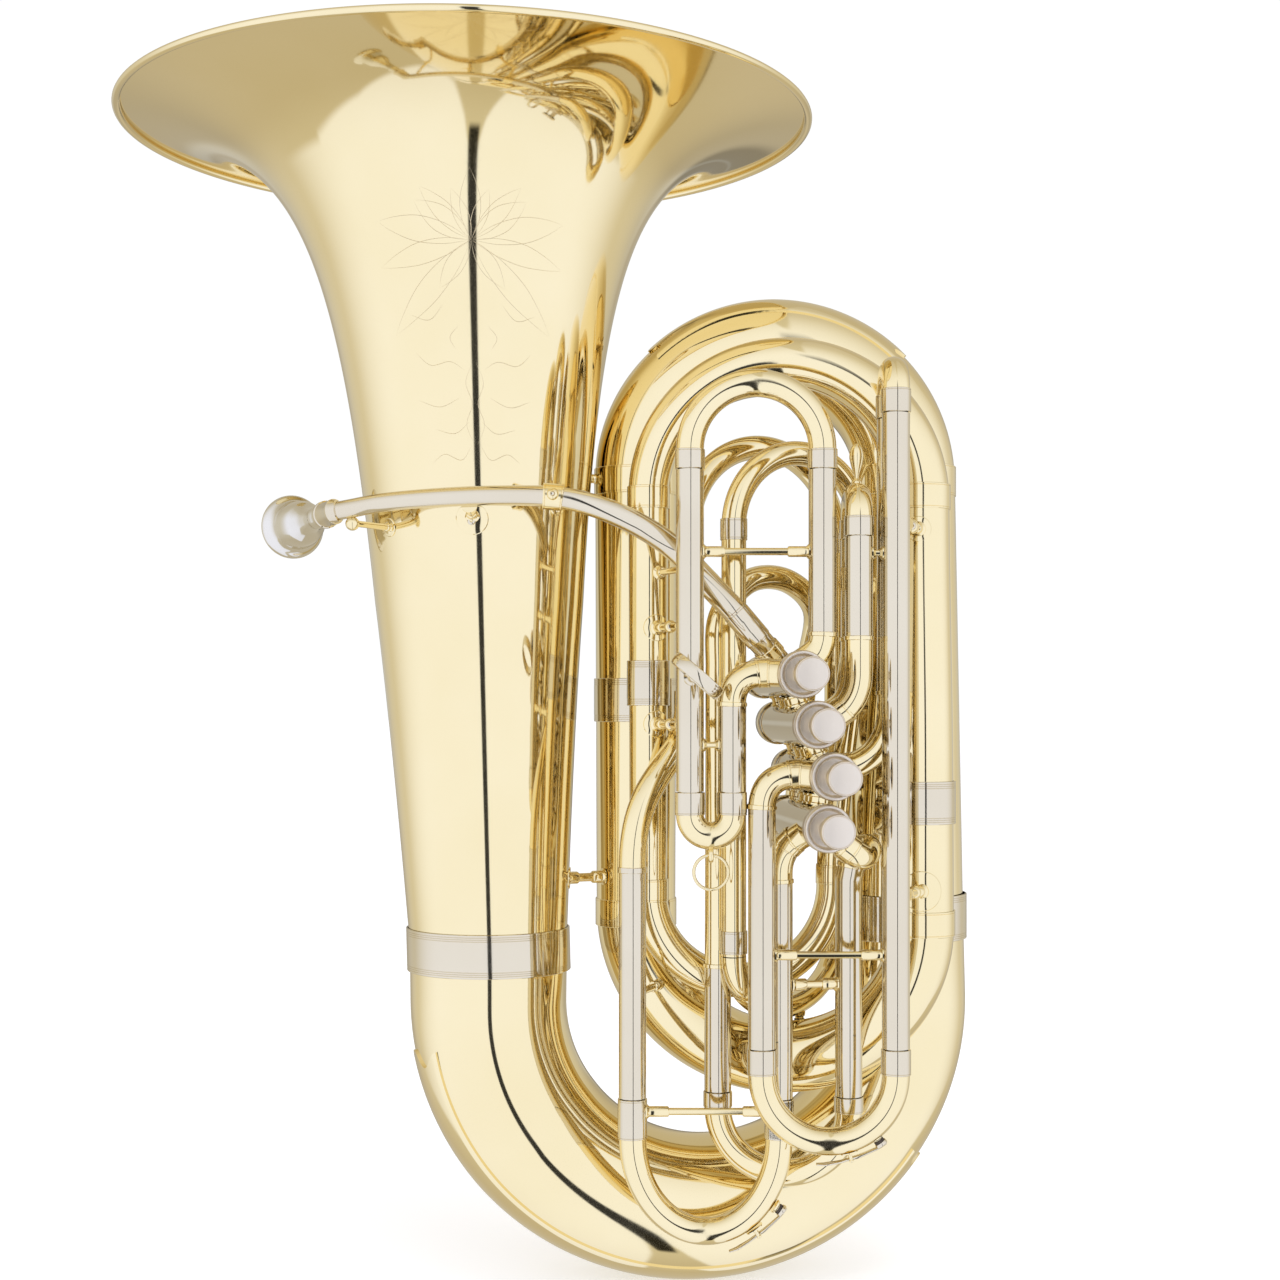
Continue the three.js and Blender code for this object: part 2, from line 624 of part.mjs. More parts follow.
// ---------------------------------------------------------------- first valve circuit

const FIRST = { left: 34, middle: 62.6, right: 124.2, low: 342.8, high: 591.6 };

function firstSlideFrame() {
  const y = FRONT_ROW_Y;
  const long = hollowTube([line(at(FIRST.left, y, FIRST.low + 16), at(FIRST.left, y, FIRST.high - 14))],
    SLEEVE, THIN_WALL, SIDES.small);
  const elbow = hollowTube([
    line(at(FIRST.middle, y, FIRST.low + 16), at(FIRST.middle, y, 418)),
    corner(at(FIRST.middle, y, 418), at(FIRST.middle, y, 439.5), at(86, y, 439.5), 5),
    line(at(86, y, 439.5), nearValve(1, TOP_ROW, 176, 8)),
  ], SLEEVE, THIN_WALL, SIDES.small);
  const right = hollowTube([
    line(at(FIRST.right, y, FIRST.high - 14), at(FIRST.right, y, 466)),
    corner(at(FIRST.right, y, 466), at(FIRST.right, y, 454), nearValve(1, TOP_ROW, 52, 8), 4),
  ], SLEEVE, THIN_WALL, SIDES.small);
  const upperBrace = braceBetween(at(FIRST.left, y, 522), at(FIRST.right, y, 522));
  const lowerBrace = braceBetween(at(FIRST.left, y, 390), at(FIRST.middle, y, 390));
  return cut(join(long, elbow, right, upperBrace, lowerBrace), clearOf(1));
}

function firstLowerCrook() {
  const [a, b] = [at(FIRST.left, FRONT_ROW_Y, 0), at(FIRST.middle, FRONT_ROW_Y, 0)];
  const body = crook(a, b, FIRST.low + 16 - GAP, FIRST.low, down(14.3), 48, 5);
  const staple = wireRing(at(48.3, FRONT_ROW_Y, 315.4), at(0, 1, 0), up(1), 4.2, 1, 10);
  return join(body, staple);
}

function firstUpperCrook() {
  const [a, b] = [at(FIRST.left, FRONT_ROW_Y, 0), at(FIRST.right, FRONT_ROW_Y, 0)];
  return crook(a, b, FIRST.high - 14 + GAP, FIRST.high, up(45.1), 60, 6);
}

addPiece("first_slide_frame", firstSlideFrame(), NICKEL_SILVER);
addPiece("first_lower_crook", firstLowerCrook(), LACQUERED_BRASS);
addPiece("pull_ring", wireRing(at(48.3, FRONT_ROW_Y, 303.7), at(1, 0, 0), up(1), 11.7, 1.1, 16),
  LACQUERED_BRASS);
addPiece("first_upper_crook", firstUpperCrook(), LACQUERED_BRASS);

// Thumb ring, standing off the front of the first slide's long sleeve on a small foot.
function thumbRing() {
  const side = at(0.755, 0, -0.656);
  const ring = wireRing(at(38, -130.6, 437), side, at(0, 1, 0), 19, 1.8, 16);
  const foot = line(at(FIRST.left + 1, -108.2, 437), at(FIRST.left + 3, -112, 437));
  return join(ring, solidSweep([foot], () => circle(5, SIDES.small)));
}

addPiece("thumb_ring", thumbRing(), NICKEL_SILVER);

// ---------------------------------------------------------------- second valve circuit

const SECOND = { x: 149, ends: 532, bend: 546 };

function secondSlideFrame() {
  const sleeve = (y, row) => {
    const level = (z) => at(SECOND.x, y, z);
    const elbow = corner(level(440), level(417), nearValve(2, row, 20, 8), 5);
    return hollowTube([line(level(SECOND.ends), level(440)), elbow], SLEEVE, THIN_WALL, SIDES.small);
  };
  const front = sleeve(FRONT_ROW_Y, TOP_ROW);
  const rear = sleeve(REAR_LEG_Y, MIDDLE_ROW);
  const tie = braceBetween(at(SECOND.x, FRONT_ROW_Y, 480), at(SECOND.x, REAR_LEG_Y, 480));
  return cut(join(front, rear, tie), clearOf(2), clearOf(1));
}

function secondCrook() {
  const [a, b] = [at(SECOND.x, FRONT_ROW_Y, 0), at(SECOND.x, REAR_LEG_Y, 0)];
  return crook(a, b, SECOND.ends + GAP, SECOND.bend, up(15), 50, 5);
}

addPiece("second_slide_frame", secondSlideFrame(), NICKEL_SILVER);
addPiece("second_crook", secondCrook(), LACQUERED_BRASS);

// ---------------------------------------------------------------- third valve circuit

const THIRD = { left: 83, right: 174.2, low: 166.2, high: 632.6, lowEnds: 184, highEnds: 616 };

function thirdSlideFrame() {
  const y = FRONT_ROW_Y;
  const left = hollowTube([
    line(at(THIRD.left, y, THIRD.lowEnds), at(THIRD.left, y, 346)),
    corner(at(THIRD.left, y, 346), at(THIRD.left, y, 370.5), at(108, y, 370.5), 5),
    line(at(108, y, 370.5), nearValve(3, TOP_ROW, 178, 8)),
  ], SLEEVE, THIN_WALL, SIDES.small);
  const right = hollowTube([line(at(THIRD.right, y, THIRD.lowEnds), at(THIRD.right, y, THIRD.highEnds))],
    SLEEVE, THIN_WALL, SIDES.small);
  const rear = hollowTube([
    line(at(THIRD.right, REAR_LEG_Y, THIRD.highEnds), at(THIRD.right, REAR_LEG_Y, 412)),
    corner(at(THIRD.right, REAR_LEG_Y, 412), at(THIRD.right - 2, REAR_LEG_Y, 379),
      nearValve(3, MIDDLE_ROW, 12, 8), 6),
  ], SLEEVE, THIN_WALL, SIDES.small);
  const brace = braceBetween(at(THIRD.left, y, 247.5), at(THIRD.right, y, 247.5));
  const tie = braceBetween(at(THIRD.right, y, 521), at(THIRD.right, REAR_LEG_Y, 521));
  return cut(join(left, right, rear, brace, tie), clearOf(3));
}

function thirdLowerCrook() {
  const [a, b] = [at(THIRD.left, FRONT_ROW_Y, 0), at(THIRD.right, FRONT_ROW_Y, 0)];
  return crook(a, b, THIRD.lowEnds - GAP, THIRD.low, down(45.6), 80, 6);
}

function thirdUpperCrook() {
  const [a, b] = [at(THIRD.right, FRONT_ROW_Y, 0), at(THIRD.right, REAR_LEG_Y, 0)];
  return crook(a, b, THIRD.highEnds + GAP, THIRD.high, up(15), 60, 5);
}

addPiece("third_slide_frame", thirdSlideFrame(), NICKEL_SILVER);
addPiece("third_lower_crook", thirdLowerCrook(), LACQUERED_BRASS);
addPiece("third_upper_crook", thirdUpperCrook(), LACQUERED_BRASS);

// ---------------------------------------------------------------- fourth valve circuit

const FOURTH = { left: at(55, -45, 0), right: at(145.6, -64, 0), ends: 145, bend: 133.6 };

// Two sleeves tied by a brace: the main slide's right one with its pipe up to valve 4, and the fourth
// slide's right one with the hooked pipe from that valve.
function fourthValveSleeves() {
  const leg = (z) => at(MAIN_SLIDE.right, MAIN_SLIDE_Y, z);
  const level = (z) => at(FOURTH.right.x, FOURTH.right.y, z);
  const elbow = corner(leg(301), at(96.5, -75, 319), nearValve(4, TOP_ROW + 18, 212, 9), 4);
  const straight = line(leg(MAIN_SLIDE.ends + GAP), leg(301));
  const inner = hollowTube([straight, elbow], SLEEVE, THIN_WALL, SIDES.small);
  const hook = spline([
    nearValve(4, TOP_ROW, -38, 8), nearValve(4, TOP_ROW, -38, 22), at(152, -92, 314), at(157, -80, 319),
    at(150, -67, 315), level(296),
  ], 8);
  const outer = hollowTube([hook, line(level(296), level(FOURTH.ends))], SLEEVE, THIN_WALL, SIDES.small);
  return cut(join(inner, outer, braceBetween(leg(223.5), level(223.5))), clearOf(4));
}

function fourthLeftPipe() {
  const level = (z) => at(FOURTH.left.x, FOURTH.left.y, z);
  const arch = spline([
    level(440), at(57, -43, 480), at(78, -28, 506), at(106, -6, 508), at(129, 20, 488), at(126, 48, 445),
    at(122, 55, 400), at(119, 55, 350), at(112, 44, 312), at(104, 22, 299), at(102, -4, 299),
    nearValve(4, LOW_ROW, 232, 22), nearValve(4, LOW_ROW, 232, 8),
  ], 15);
  const radii = [SLEEVE, SMALL_BRASS, SMALL_BRASS, SMALL_BRASS];
  const path = [line(level(FOURTH.ends), level(440)), arch];
  return cut(hollowTube(path, radii, THIN_WALL, SIDES.small), clearOf(4));
}

function fourthCrook() {
  return crook(FOURTH.left, FOURTH.right, FOURTH.ends - GAP, FOURTH.bend, down(44.6), 80, 6);
}

addPiece("fourth_valve_sleeves", fourthValveSleeves(), NICKEL_SILVER);
addPiece("fourth_left_pipe", fourthLeftPipe(), NICKEL_SILVER);
addPiece("fourth_crook", fourthCrook(), LACQUERED_BRASS);

// ---------------------------------------------------------------- leadpipe and mouthpiece

const RECEIVER = at(-218, -75, 549);
const INTO_RECEIVER = at(0.45, -0.89, 0.03).normalize();
const RECEIVER_LENGTH = 22;
const RECEIVER_SHARE = 0.06;  // the receiver's part of the leadpipe's length

function leadpipe() {
  const along = (run) => RECEIVER.clone().addScaledVector(INTO_RECEIVER, run);
  const receiver = line(along(0), along(RECEIVER_LENGTH));
  const course = spline([
    along(RECEIVER_LENGTH), at(-196, -98, 551.5), at(-177, -99, 555), at(-142, -100, 558.3),
    at(-95, -100, 560), at(-54, -99, 558.6), at(-27, -96, 552), at(0, -88.5, 540.5),
    at(24.7, -79.5, 524.6), at(44.8, -79.5, 503.8), at(65.5, -82, 481.7), at(80, -78, 465),
    nearValve(1, MIDDLE_ROW, 128, 8),
  ], 15);
  const bore = taper([6.4, 6.4, 6.9, 8.2, 8.8, 8.8]);
  const radiusAt = (share) => (share < RECEIVER_SHARE ? 8.8 : bore(share));
  return cut(hollowTube([receiver, course], radiusAt, 1.3, SIDES.small), clearOf(1));
}

// Outline of the mouthpiece along its own axis, from the shank's end (0) to the rim.
function mouthpiece() {
  const outline = [
    [5.6, 0], [6.2, 0], [6.5, 19], [7.2, 26], [7.6, 44], [9.6, 52], [14.6, 60], [16.6, 70], [17.4, 80],
    [19, 86], [22.2, 88.5], [23, 91], [22.6, 94], [20, 95.3], [17.2, 94.6], [15.6, 84], [13, 70],
    [4.6, 54], [4.2, 40],
  ];
  const points = [...outline, outline[0]].map(([r, s]) => new THREE.Vector2(r, s));
  const turned = new THREE.LatheGeometry(points, 14);
  const axis = INTO_RECEIVER.clone().negate();
  const mouth = RECEIVER.clone().addScaledVector(INTO_RECEIVER, 15);
  const turn = new THREE.Quaternion().setFromUnitVectors(at(0, 1, 0), axis);
  turned.applyQuaternion(turn);
  turned.translate(mouth.x, mouth.y, mouth.z);
  return turned;
}

addPiece("leadpipe", leadpipe(), NICKEL_SILVER);
addPiece("mouthpiece", mouthpiece(), SILVER_PLATE);

// ---------------------------------------------------------------- water keys and bell brace

// A lever on the outside of a crook's bend, from its pad at `turnPad` to its finger end at `turnTip`,
// both in degrees round the bend.
function waterKey(centre, reach, turnPad, turnTip) {
  const onArc = (turn, radius) => {
    const angle = THREE.MathUtils.degToRad(turn);
    return centre.clone().add(at(radius * Math.cos(angle), 0, radius * Math.sin(angle)));
  };
  const middle = (turnPad + turnTip) / 2;
  const knee = onArc(middle, reach + 3.4);
  const path = [line(onArc(turnPad + 6, reach + 5), knee), line(knee, onArc(turnTip, reach + 6.5))];
  const plate = solidSweep(path, () => [[-3, -1], [3, -1], [3, 1], [-3, 1]]);
  const pad = rod(onArc(turnPad, reach + 0.6), onArc(turnPad, reach + 4.8), 3.6);
  return join(plate, pad);
}

const MAIN_BEND = at((MAIN_SLIDE.left + MAIN_SLIDE.right) / 2, MAIN_SLIDE_Y, MAIN_SLIDE.bend);
const THIRD_BEND = at((THIRD.left + THIRD.right) / 2, FRONT_ROW_Y, THIRD.low);
addPiece("main_water_key", waterKey(MAIN_BEND, 50.8 + SLEEVE, -35, -76), NICKEL_SILVER);
addPiece("third_water_key", waterKey(THIRD_BEND, 45.6 + SLEEVE, -53, -98), NICKEL_SILVER);
addPiece("bell_brace", rod(at(-48.5, 3, 291), at(-29, 12, 291), 3.4), LACQUERED_BRASS);

// ---------------------------------------------------------------- the finished instrument

const instrument = new THREE.Group();
instrument.add(tuba);
const box = new THREE.Box3().setFromObject(instrument, true);
tuba.position.set(-(box.min.x + box.max.x) / 2, -(box.min.y + box.max.y) / 2, -box.min.z);

export default instrument;
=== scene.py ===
import math

import bmesh
import bpy
import numpy as np
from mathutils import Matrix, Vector


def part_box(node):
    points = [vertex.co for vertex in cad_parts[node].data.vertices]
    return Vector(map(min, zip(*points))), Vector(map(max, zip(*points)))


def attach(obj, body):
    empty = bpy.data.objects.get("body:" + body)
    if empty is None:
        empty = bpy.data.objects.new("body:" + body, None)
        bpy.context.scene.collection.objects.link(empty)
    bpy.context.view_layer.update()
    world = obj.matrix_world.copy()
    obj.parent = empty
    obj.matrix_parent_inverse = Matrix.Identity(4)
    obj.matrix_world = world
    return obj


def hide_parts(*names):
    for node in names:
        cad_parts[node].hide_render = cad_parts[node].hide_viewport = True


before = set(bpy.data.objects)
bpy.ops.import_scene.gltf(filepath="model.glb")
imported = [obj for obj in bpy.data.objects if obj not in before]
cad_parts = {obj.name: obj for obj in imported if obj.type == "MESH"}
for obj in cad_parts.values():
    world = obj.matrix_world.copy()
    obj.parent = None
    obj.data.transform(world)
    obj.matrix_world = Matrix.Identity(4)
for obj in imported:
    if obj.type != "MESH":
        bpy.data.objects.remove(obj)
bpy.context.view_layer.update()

MM = 0.001
BRASS, NICKEL, SILVER, STEEL = "lacquered_brass", "nickel_silver", "silver_plate", "spring_steel"

# --- dimensions, in millimetres
# x = 0 lies between the bell and the small tubing, y = 0 is the plane of the bell's axis.

WALL = 1.2
THIN_WALL = 1.0
GAP = 0.3
RIM_RADIUS = 251.0
RIM_Z = 842.0
BELL_END_Z = 240.0
BELL_X = -110.5
BELL_LEAN = 0.0262
BACK_Y = 30.0
FRONT_Y = -98.0
REAR_Y = -68.0
MAIN_Y = -74.0
SLEEVE = 9.5
INNER_SLIDE = 7.5
SMALL_BRASS = 8.7
VALVE_TURN = math.radians(6.7)
VALVE_FRONTS = [(109.5, 438.2), (119.8, 404.2), (131.0, 369.4), (126.5, 334.5)]
VALVE_FRONT_Y = -122.0
CASING = 14.6

# The columns (x, y) in which the upright tubes stand.
BELL_FOOT, RIGHT_BACK, LEFT_BACK = (BELL_X, 0), (197, BACK_Y), (-3, BACK_Y)
RIGHT_LOW, RIGHT_HIGH, LEFT_FRONT = (199, -47), (199, -36), (6, -35)
ARCH_LEG, FIFTH_REAR, FIFTH_LEFT = (65.5, -63), (149, 60), (34, -44)
MAIN_LEFT, MAIN_RIGHT = (-5.2, MAIN_Y), (96.3, MAIN_Y)
FIRST_LEFT, FIRST_MIDDLE, FIRST_RIGHT = (34, FRONT_Y), (62.6, FRONT_Y), (124.2, FRONT_Y)
SECOND_FRONT, SECOND_REAR = (149, FRONT_Y), (149, REAR_Y)
THIRD_LEFT, THIRD_RIGHT, THIRD_REAR = (83, FRONT_Y), (174.2, FRONT_Y), (174.2, REAR_Y)
FOURTH_LEFT, FOURTH_RIGHT = (55, -45), (145.6, -64)


def bell_radius(z):
    depth = RIM_Z - np.asarray(z, float)
    flare = RIM_RADIUS * (14.0 / (14.0 + np.maximum(depth, 0.0))) ** 0.368
    return flare - 0.0215 * np.maximum(0.0, depth - 350.0)


def bell_axis_x(z):
    return BELL_X - BELL_LEAN * (np.asarray(z, float) - BELL_END_Z)


rim_low, rim_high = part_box("bell_rim")
ORIGIN = np.array([
    (rim_low.x + rim_high.x) / 2 - float(bell_axis_x(RIM_Z - 2.5)) * MM,
    (rim_low.y + rim_high.y) / 2,
    rim_high.z - RIM_Z * MM,
])


def at(x, y, z):
    return np.array([x, y, z], float)


UP, DOWN, REAR = at(0, 0, 1), at(0, 0, -1), at(0, 1, 0)


# --- materials

class Graph:
    """The node tree of a material or a world."""

    def __init__(self, owner):
        owner.use_nodes = True
        self.owner = owner
        self.nodes, self.links = owner.node_tree.nodes, owner.node_tree.links

    def feed(self, node, inputs):
        """Sets each input of a node to a value, or links it to an output."""
        for name, value in inputs.items():
            if isinstance(value, bpy.types.NodeSocket):
                self.links.new(value, node.inputs[name])
            else:
                node.inputs[name].default_value = value

    def node(self, kind, output, inputs, **settings):
        """An output of a new node."""
        made = self.nodes.new("ShaderNode" + kind)
        for name, value in settings.items():
            setattr(made, name, value)
        self.feed(made, inputs)
        return made.outputs[output]

    def place(self, output="Object"):
        return self.node("TexCoord", output, {})

    def noise(self, place, scale, detail, stretch=(1, 1, 1)):
        mapped = self.node("Mapping", "Vector", {"Scale": stretch, "Vector": place})
        return self.node("TexNoise", "Fac", {"Scale": scale, "Detail": detail, "Vector": mapped})

    def ramp(self, value, low, high, start=0.3, stop=0.7, **settings):
        return self.node("MapRange", "Result", {
            "From Min": start, "From Max": stop, "To Min": low, "To Max": high, "Value": value}, **settings)

    def smooth(self, value, edge0, edge1):
        return self.ramp(value, 0, 1, edge0, edge1, interpolation_type="SMOOTHSTEP")

    def mix(self, factor, first, second):
        return self.node("Mix", "Result", {"Factor": factor, "A": first, "B": second}, data_type="RGBA")

    def bump(self, height, distance, strength=1.0):
        return self.node("Bump", "Normal", {"Distance": distance, "Strength": strength, "Height": height})

    def maths(self, operation, *values):
        return self.node("Math", 0, dict(enumerate(values)), operation=operation)


def material_with(graph, **inputs):
    """The graph's material, once its shader's inputs are set."""
    graph.feed(graph.nodes["Principled BSDF"], {key.replace("_", " "): inputs[key] for key in inputs})
    return graph.owner


def polished(name, first, second, rough, coat):
    """A polished metal: faint clouding in colour and gloss, hairline polishing marks and a slow ripple."""
    graph = Graph(bpy.data.materials.new(name))
    place = graph.place()
    clouds = graph.ramp(graph.noise(place, 9.0, 4.0), 0, 1)
    hairlines = graph.ramp(graph.noise(place, 900.0, 2.0, (1, 1, 0.06)), *rough)
    smears = graph.ramp(graph.noise(place, 26.0, 5.0), 0.0, 0.025)
    return material_with(
        graph, Base_Color=graph.mix(clouds, (*first, 1), (*second, 1)),
        Roughness=graph.maths("ADD", hairlines, smears), Metallic=1.0, Coat_Weight=coat, Coat_Roughness=0.03,
        Normal=graph.bump(graph.noise(place, 55.0, 2.0), 0.00002, 0.25))


def matte(name, first, second, scale, depth, roughness):
    """A soft or fibrous surface: mottled colour over a fine grain."""
    graph = Graph(bpy.data.materials.new(name))
    grain = graph.noise(graph.place(), scale, 8.0)
    return material_with(
        graph, Base_Color=graph.mix(graph.ramp(grain, 0, 1), (*first, 1), (*second, 1)),
        Roughness=roughness, Normal=graph.bump(grain, depth))


MATERIALS = {
    BRASS: polished("lacquered brass", (0.875, 0.725, 0.385), (0.905, 0.76, 0.43), (0.03, 0.055), 0.4),
    NICKEL: polished("nickel silver", (0.71, 0.615, 0.425), (0.75, 0.66, 0.468), (0.04, 0.08), 0.15),
    SILVER: polished("silver plate", (0.74, 0.69, 0.57), (0.79, 0.74, 0.62), (0.05, 0.09), 0.0),
    STEEL: polished("spring steel", (0.40, 0.40, 0.41), (0.50, 0.50, 0.50), (0.25, 0.35), 0.0),
    "satin": polished("satin nickel", (0.79, 0.69, 0.525), (0.83, 0.73, 0.565), (0.34, 0.42), 0.0),
    "engraved": polished("engraved brass", (0.66, 0.53, 0.30), (0.78, 0.64, 0.38), (0.35, 0.50), 0.0),
    "cork": matte("cork", (0.035, 0.028, 0.022), (0.10, 0.075, 0.05), 900.0, 0.0003, 0.9),
    "felt": matte("felt", (0.05, 0.045, 0.045), (0.11, 0.10, 0.10), 2600.0, 0.0004, 0.97),
}

# --- paths


def line(a, b):
    count = max(2, int(np.linalg.norm(b - a) / 6) + 1)
    return np.linspace(a, b, count)


def leg(column, z0, z1):
    """A straight upright run."""
    return line(at(*column, z0), at(*column, z1))


def bend(a, b, rise, count=48):
    """Half a turn from a to b; `rise` is how far its middle stands out."""
    turn = np.linspace(0, math.pi, count)[:, None]
    return (a + b) / 2 + (a - b) / 2 * np.cos(turn) + rise * np.sin(turn)


def corner(a, via, b, count=18):
    t = np.linspace(0, 1, count)[:, None]
    return (1 - t) ** 2 * a + 2 * t * (1 - t) * via + t ** 2 * b


def cubic(a, b, c, d, count=32):
    t = np.linspace(0, 1, count)[:, None]
    return (1 - t) ** 3 * a + 3 * t * (1 - t) ** 2 * b + 3 * t ** 2 * (1 - t) * c + t ** 3 * d


def spline(*points, count=10):
    """A centripetal curve through the points, `count` samples to each of its parts."""
    p = [2 * points[0] - points[1], *points, 2 * points[-1] - points[-2]]
    out = [points[0]]
    for i in range(1, len(p) - 2):
        d0, d1, d2 = (np.linalg.norm(p[i + k] - p[i + k - 1]) ** 0.5 for k in range(3))
        m1 = ((p[i] - p[i - 1]) / d0 - (p[i + 1] - p[i - 1]) / (d0 + d1) + (p[i + 1] - p[i]) / d1) * d1
        m2 = ((p[i + 1] - p[i]) / d1 - (p[i + 2] - p[i]) / (d1 + d2) + (p[i + 2] - p[i + 1]) / d2) * d1
        for t in np.linspace(0, 1, count + 1)[1:]:
            out.append(p[i] * (2 * t**3 - 3 * t**2 + 1) + m1 * (t**3 - 2 * t**2 + t)
                       + p[i + 1] * (3 * t**2 - 2 * t**3) + m2 * (t**3 - t**2))
    return np.array(out)


def unit(v):
    return v / np.linalg.norm(v, axis=-1, keepdims=True)


def circle(count):
    """Angles evenly round a circle."""
    return np.linspace(0, 2 * math.pi, count, endpoint=False)


def around(x, y, turn):
    """The directions at the given angles, from x towards y."""
    return np.cos(turn)[:, None] * x + np.sin(turn)[:, None] * y


class Route:
    """A path through joined legs, with a frame at every station that turns as little as possible."""

    def __init__(self, *legs):
        points = np.vstack([legs[0], *[leg[1:] for leg in legs[1:]]])
        keep = np.concatenate([[True], np.linalg.norm(np.diff(points, axis=0), axis=1) > 1e-6])
        self.points = points[keep]
        steps = np.diff(self.points, axis=0)
        self.run = np.concatenate([[0.0], np.cumsum(np.linalg.norm(steps, axis=1))])
        ways = unit(steps)
        self.tangents = unit(np.vstack([ways[:1], ways[1:] + ways[:-1], ways[-1:]]))
        across = UP if abs(self.tangents[0][1]) > 0.9 else REAR
        frames = []
        for tangent in self.tangents:
            across = unit(across - tangent * np.dot(across, tangent))
            frames.append(across)
        self.across = np.array(frames)
        self.length = self.run[-1]

    def blend(self, values, s):
        return np.stack([np.interp(s, self.run, values[:, i]) for i in range(3)], axis=-1)

    def frame(self, s):
        tangent = unit(self.blend(self.tangents, s))
        across = self.blend(self.across, s)
        across = unit(across - tangent * np.sum(across * tangent, axis=-1, keepdims=True))
        return self.blend(self.points, s), tangent, across, np.cross(tangent, across)

    def rings(self, s, radius, sides):
        point, _, across, other = (v[:, None] for v in self.frame(s))
        turn = circle(sides)[None, :, None]
        return point + (np.cos(turn) * across + np.sin(turn) * other) * np.reshape(radius, (-1, 1, 1))

    def stations(self, s0=0.0, s1=None):
        s1 = self.length if s1 is None else s1
        inside = self.run[(self.run > s0 + 0.5) & (self.run < s1 - 0.5)]
        return np.concatenate([[s0], inside, [s1]])

    def at_height(self, z, after=0.0):
        """The run at which the path first crosses height z, counted from `after`."""
        heights = self.points[:, 2]
        for i in range(len(heights) - 1):
            low, high = sorted((heights[i], heights[i + 1]))
            if low <= z <= high and high > low and self.run[i + 1] > after:
                share = (z - heights[i]) / (heights[i + 1] - heights[i])
                return self.run[i] + share * (self.run[i + 1] - self.run[i])
        return self.length


def taper(route, radii, s):
    """The radius at each run, from one value or from several spread evenly along the path."""
    radii = np.atleast_1d(radii)
    return np.interp(s, np.linspace(0, route.length, len(radii)), radii)


# --- shapes: each returns (points, faces)

ON_AXIS = 1e-9


def stitch(rings, loop=True):
    """Faces between neighbouring rings; `loop` joins the last ring to the first."""
    count, sides = rings.shape[:2]
    faces = []
    for i in range(count if loop else count - 1):
        a, b = i * sides, ((i + 1) % count) * sides
        for j in range(sides):
            k = (j + 1) % sides
            faces.append((a + j, a + k, b + k, b + j))
    return rings.reshape(-1, 3), faces


def onto_valve(ring, way, n):
    """The points of a ring, slid along `way` onto the casing of valve n."""
    x, z = VALVE_FRONTS[n - 1]
    off = ring - at(x, VALVE_FRONT_Y, z)
    off = off - (off @ AXIS)[:, None] * AXIS
    flat = way - (way @ AXIS) * AXIS
    along, square = off @ flat, flat @ flat
    room = along * along - square * (np.sum(off * off, axis=-1) - (CASING - 0.4) ** 2)
    return ring - ((along + np.sqrt(np.maximum(room, 0.0))) / square)[:, None] * way


def tube(route, radii, s0=0.0, s1=None, wall=THIN_WALL, sides=36, valve=None, first=False):
    """A hollow tube along a path; its last end, or its first, can be shaped to meet the casing of a valve."""
    s = route.stations(s0, s1)
    radius = taper(route, radii, s)
    outer, inner = route.rings(s, radius, sides), route.rings(s, radius - wall, sides)
    if valve:
        end, way = (0, -route.tangents[0]) if first else (-1, route.tangents[-1])
        near = np.clip(1 - abs(s - s[end]) / 12, 0, 1)[:, None, None]
        for rings in (outer, inner):
            rings += near * (onto_valve(rings[end], way, valve) - rings[end])
    return stitch(np.concatenate([outer, inner[::-1]]))


def collar(route, s, radius, outline, sides=36):
    """A closed band round the path; `outline` lists (run from s, height above radius)."""
    runs = np.array([s + run for run, _ in outline])
    heights = np.array([radius + height for _, height in outline])
    return stitch(route.rings(np.clip(runs, 0, route.length), heights, sides))


def band(length, thick=0.8, grooves=()):
    """Outline of a ferrule with softened edges and fine engraved lines at the given runs."""
    top = [(0.0, thick - 0.3), (0.3, thick)]
    for groove in grooves:
        top += [(groove - 0.3, thick), (groove - 0.12, thick - 0.28),
                (groove + 0.12, thick - 0.28), (groove + 0.3, thick)]
    top += [(length - 0.3, thick), (length, thick - 0.3)]
    return [(0.0, -0.1), *top, (length, -0.1)]


def basis(direction):
    z = unit(np.asarray(direction, float))
    x = unit(np.cross(UP if abs(z[2]) < 0.9 else REAR, z))
    return x, np.cross(z, x), z


def turned(origin, direction, outline, sides=48):
    """Turns (radius, run) points about an axis. An outline that starts on the axis is left open there."""
    x, y, z = basis(direction)
    out = around(x, y, circle(sides))
    rings = np.array([origin + z * run + out * radius for radius, run in outline])
    return stitch(rings, loop=outline[0][0] > ON_AXIS)


def soften(outline, step=4):
    """Rounds an open outline by a smooth curve through its points."""
    points = [at(r, run, 0) for r, run in outline]
    return [(max(0.0, p[0]), p[1]) for p in spline(*points, count=step)]


def torus(centre, side, upward, ring, thick, wide, sides=72):
    """A ring of oval wire, `thick` in its own plane and `wide` across it."""
    facing = np.cross(side, upward)
    out = around(side, upward, circle(sides))
    return stitch(np.array([
        centre + out * (ring + thick * math.cos(a)) + facing * (wide * math.sin(a)) for a in circle(16)
    ]))


def with_ends(rings):
    """The rings, closed at both ends by a ring drawn together to its middle."""
    first, last = (np.broadcast_to(ring.mean(axis=0), ring.shape) for ring in (rings[0], rings[-1]))
    return np.array([first, *rings, last])


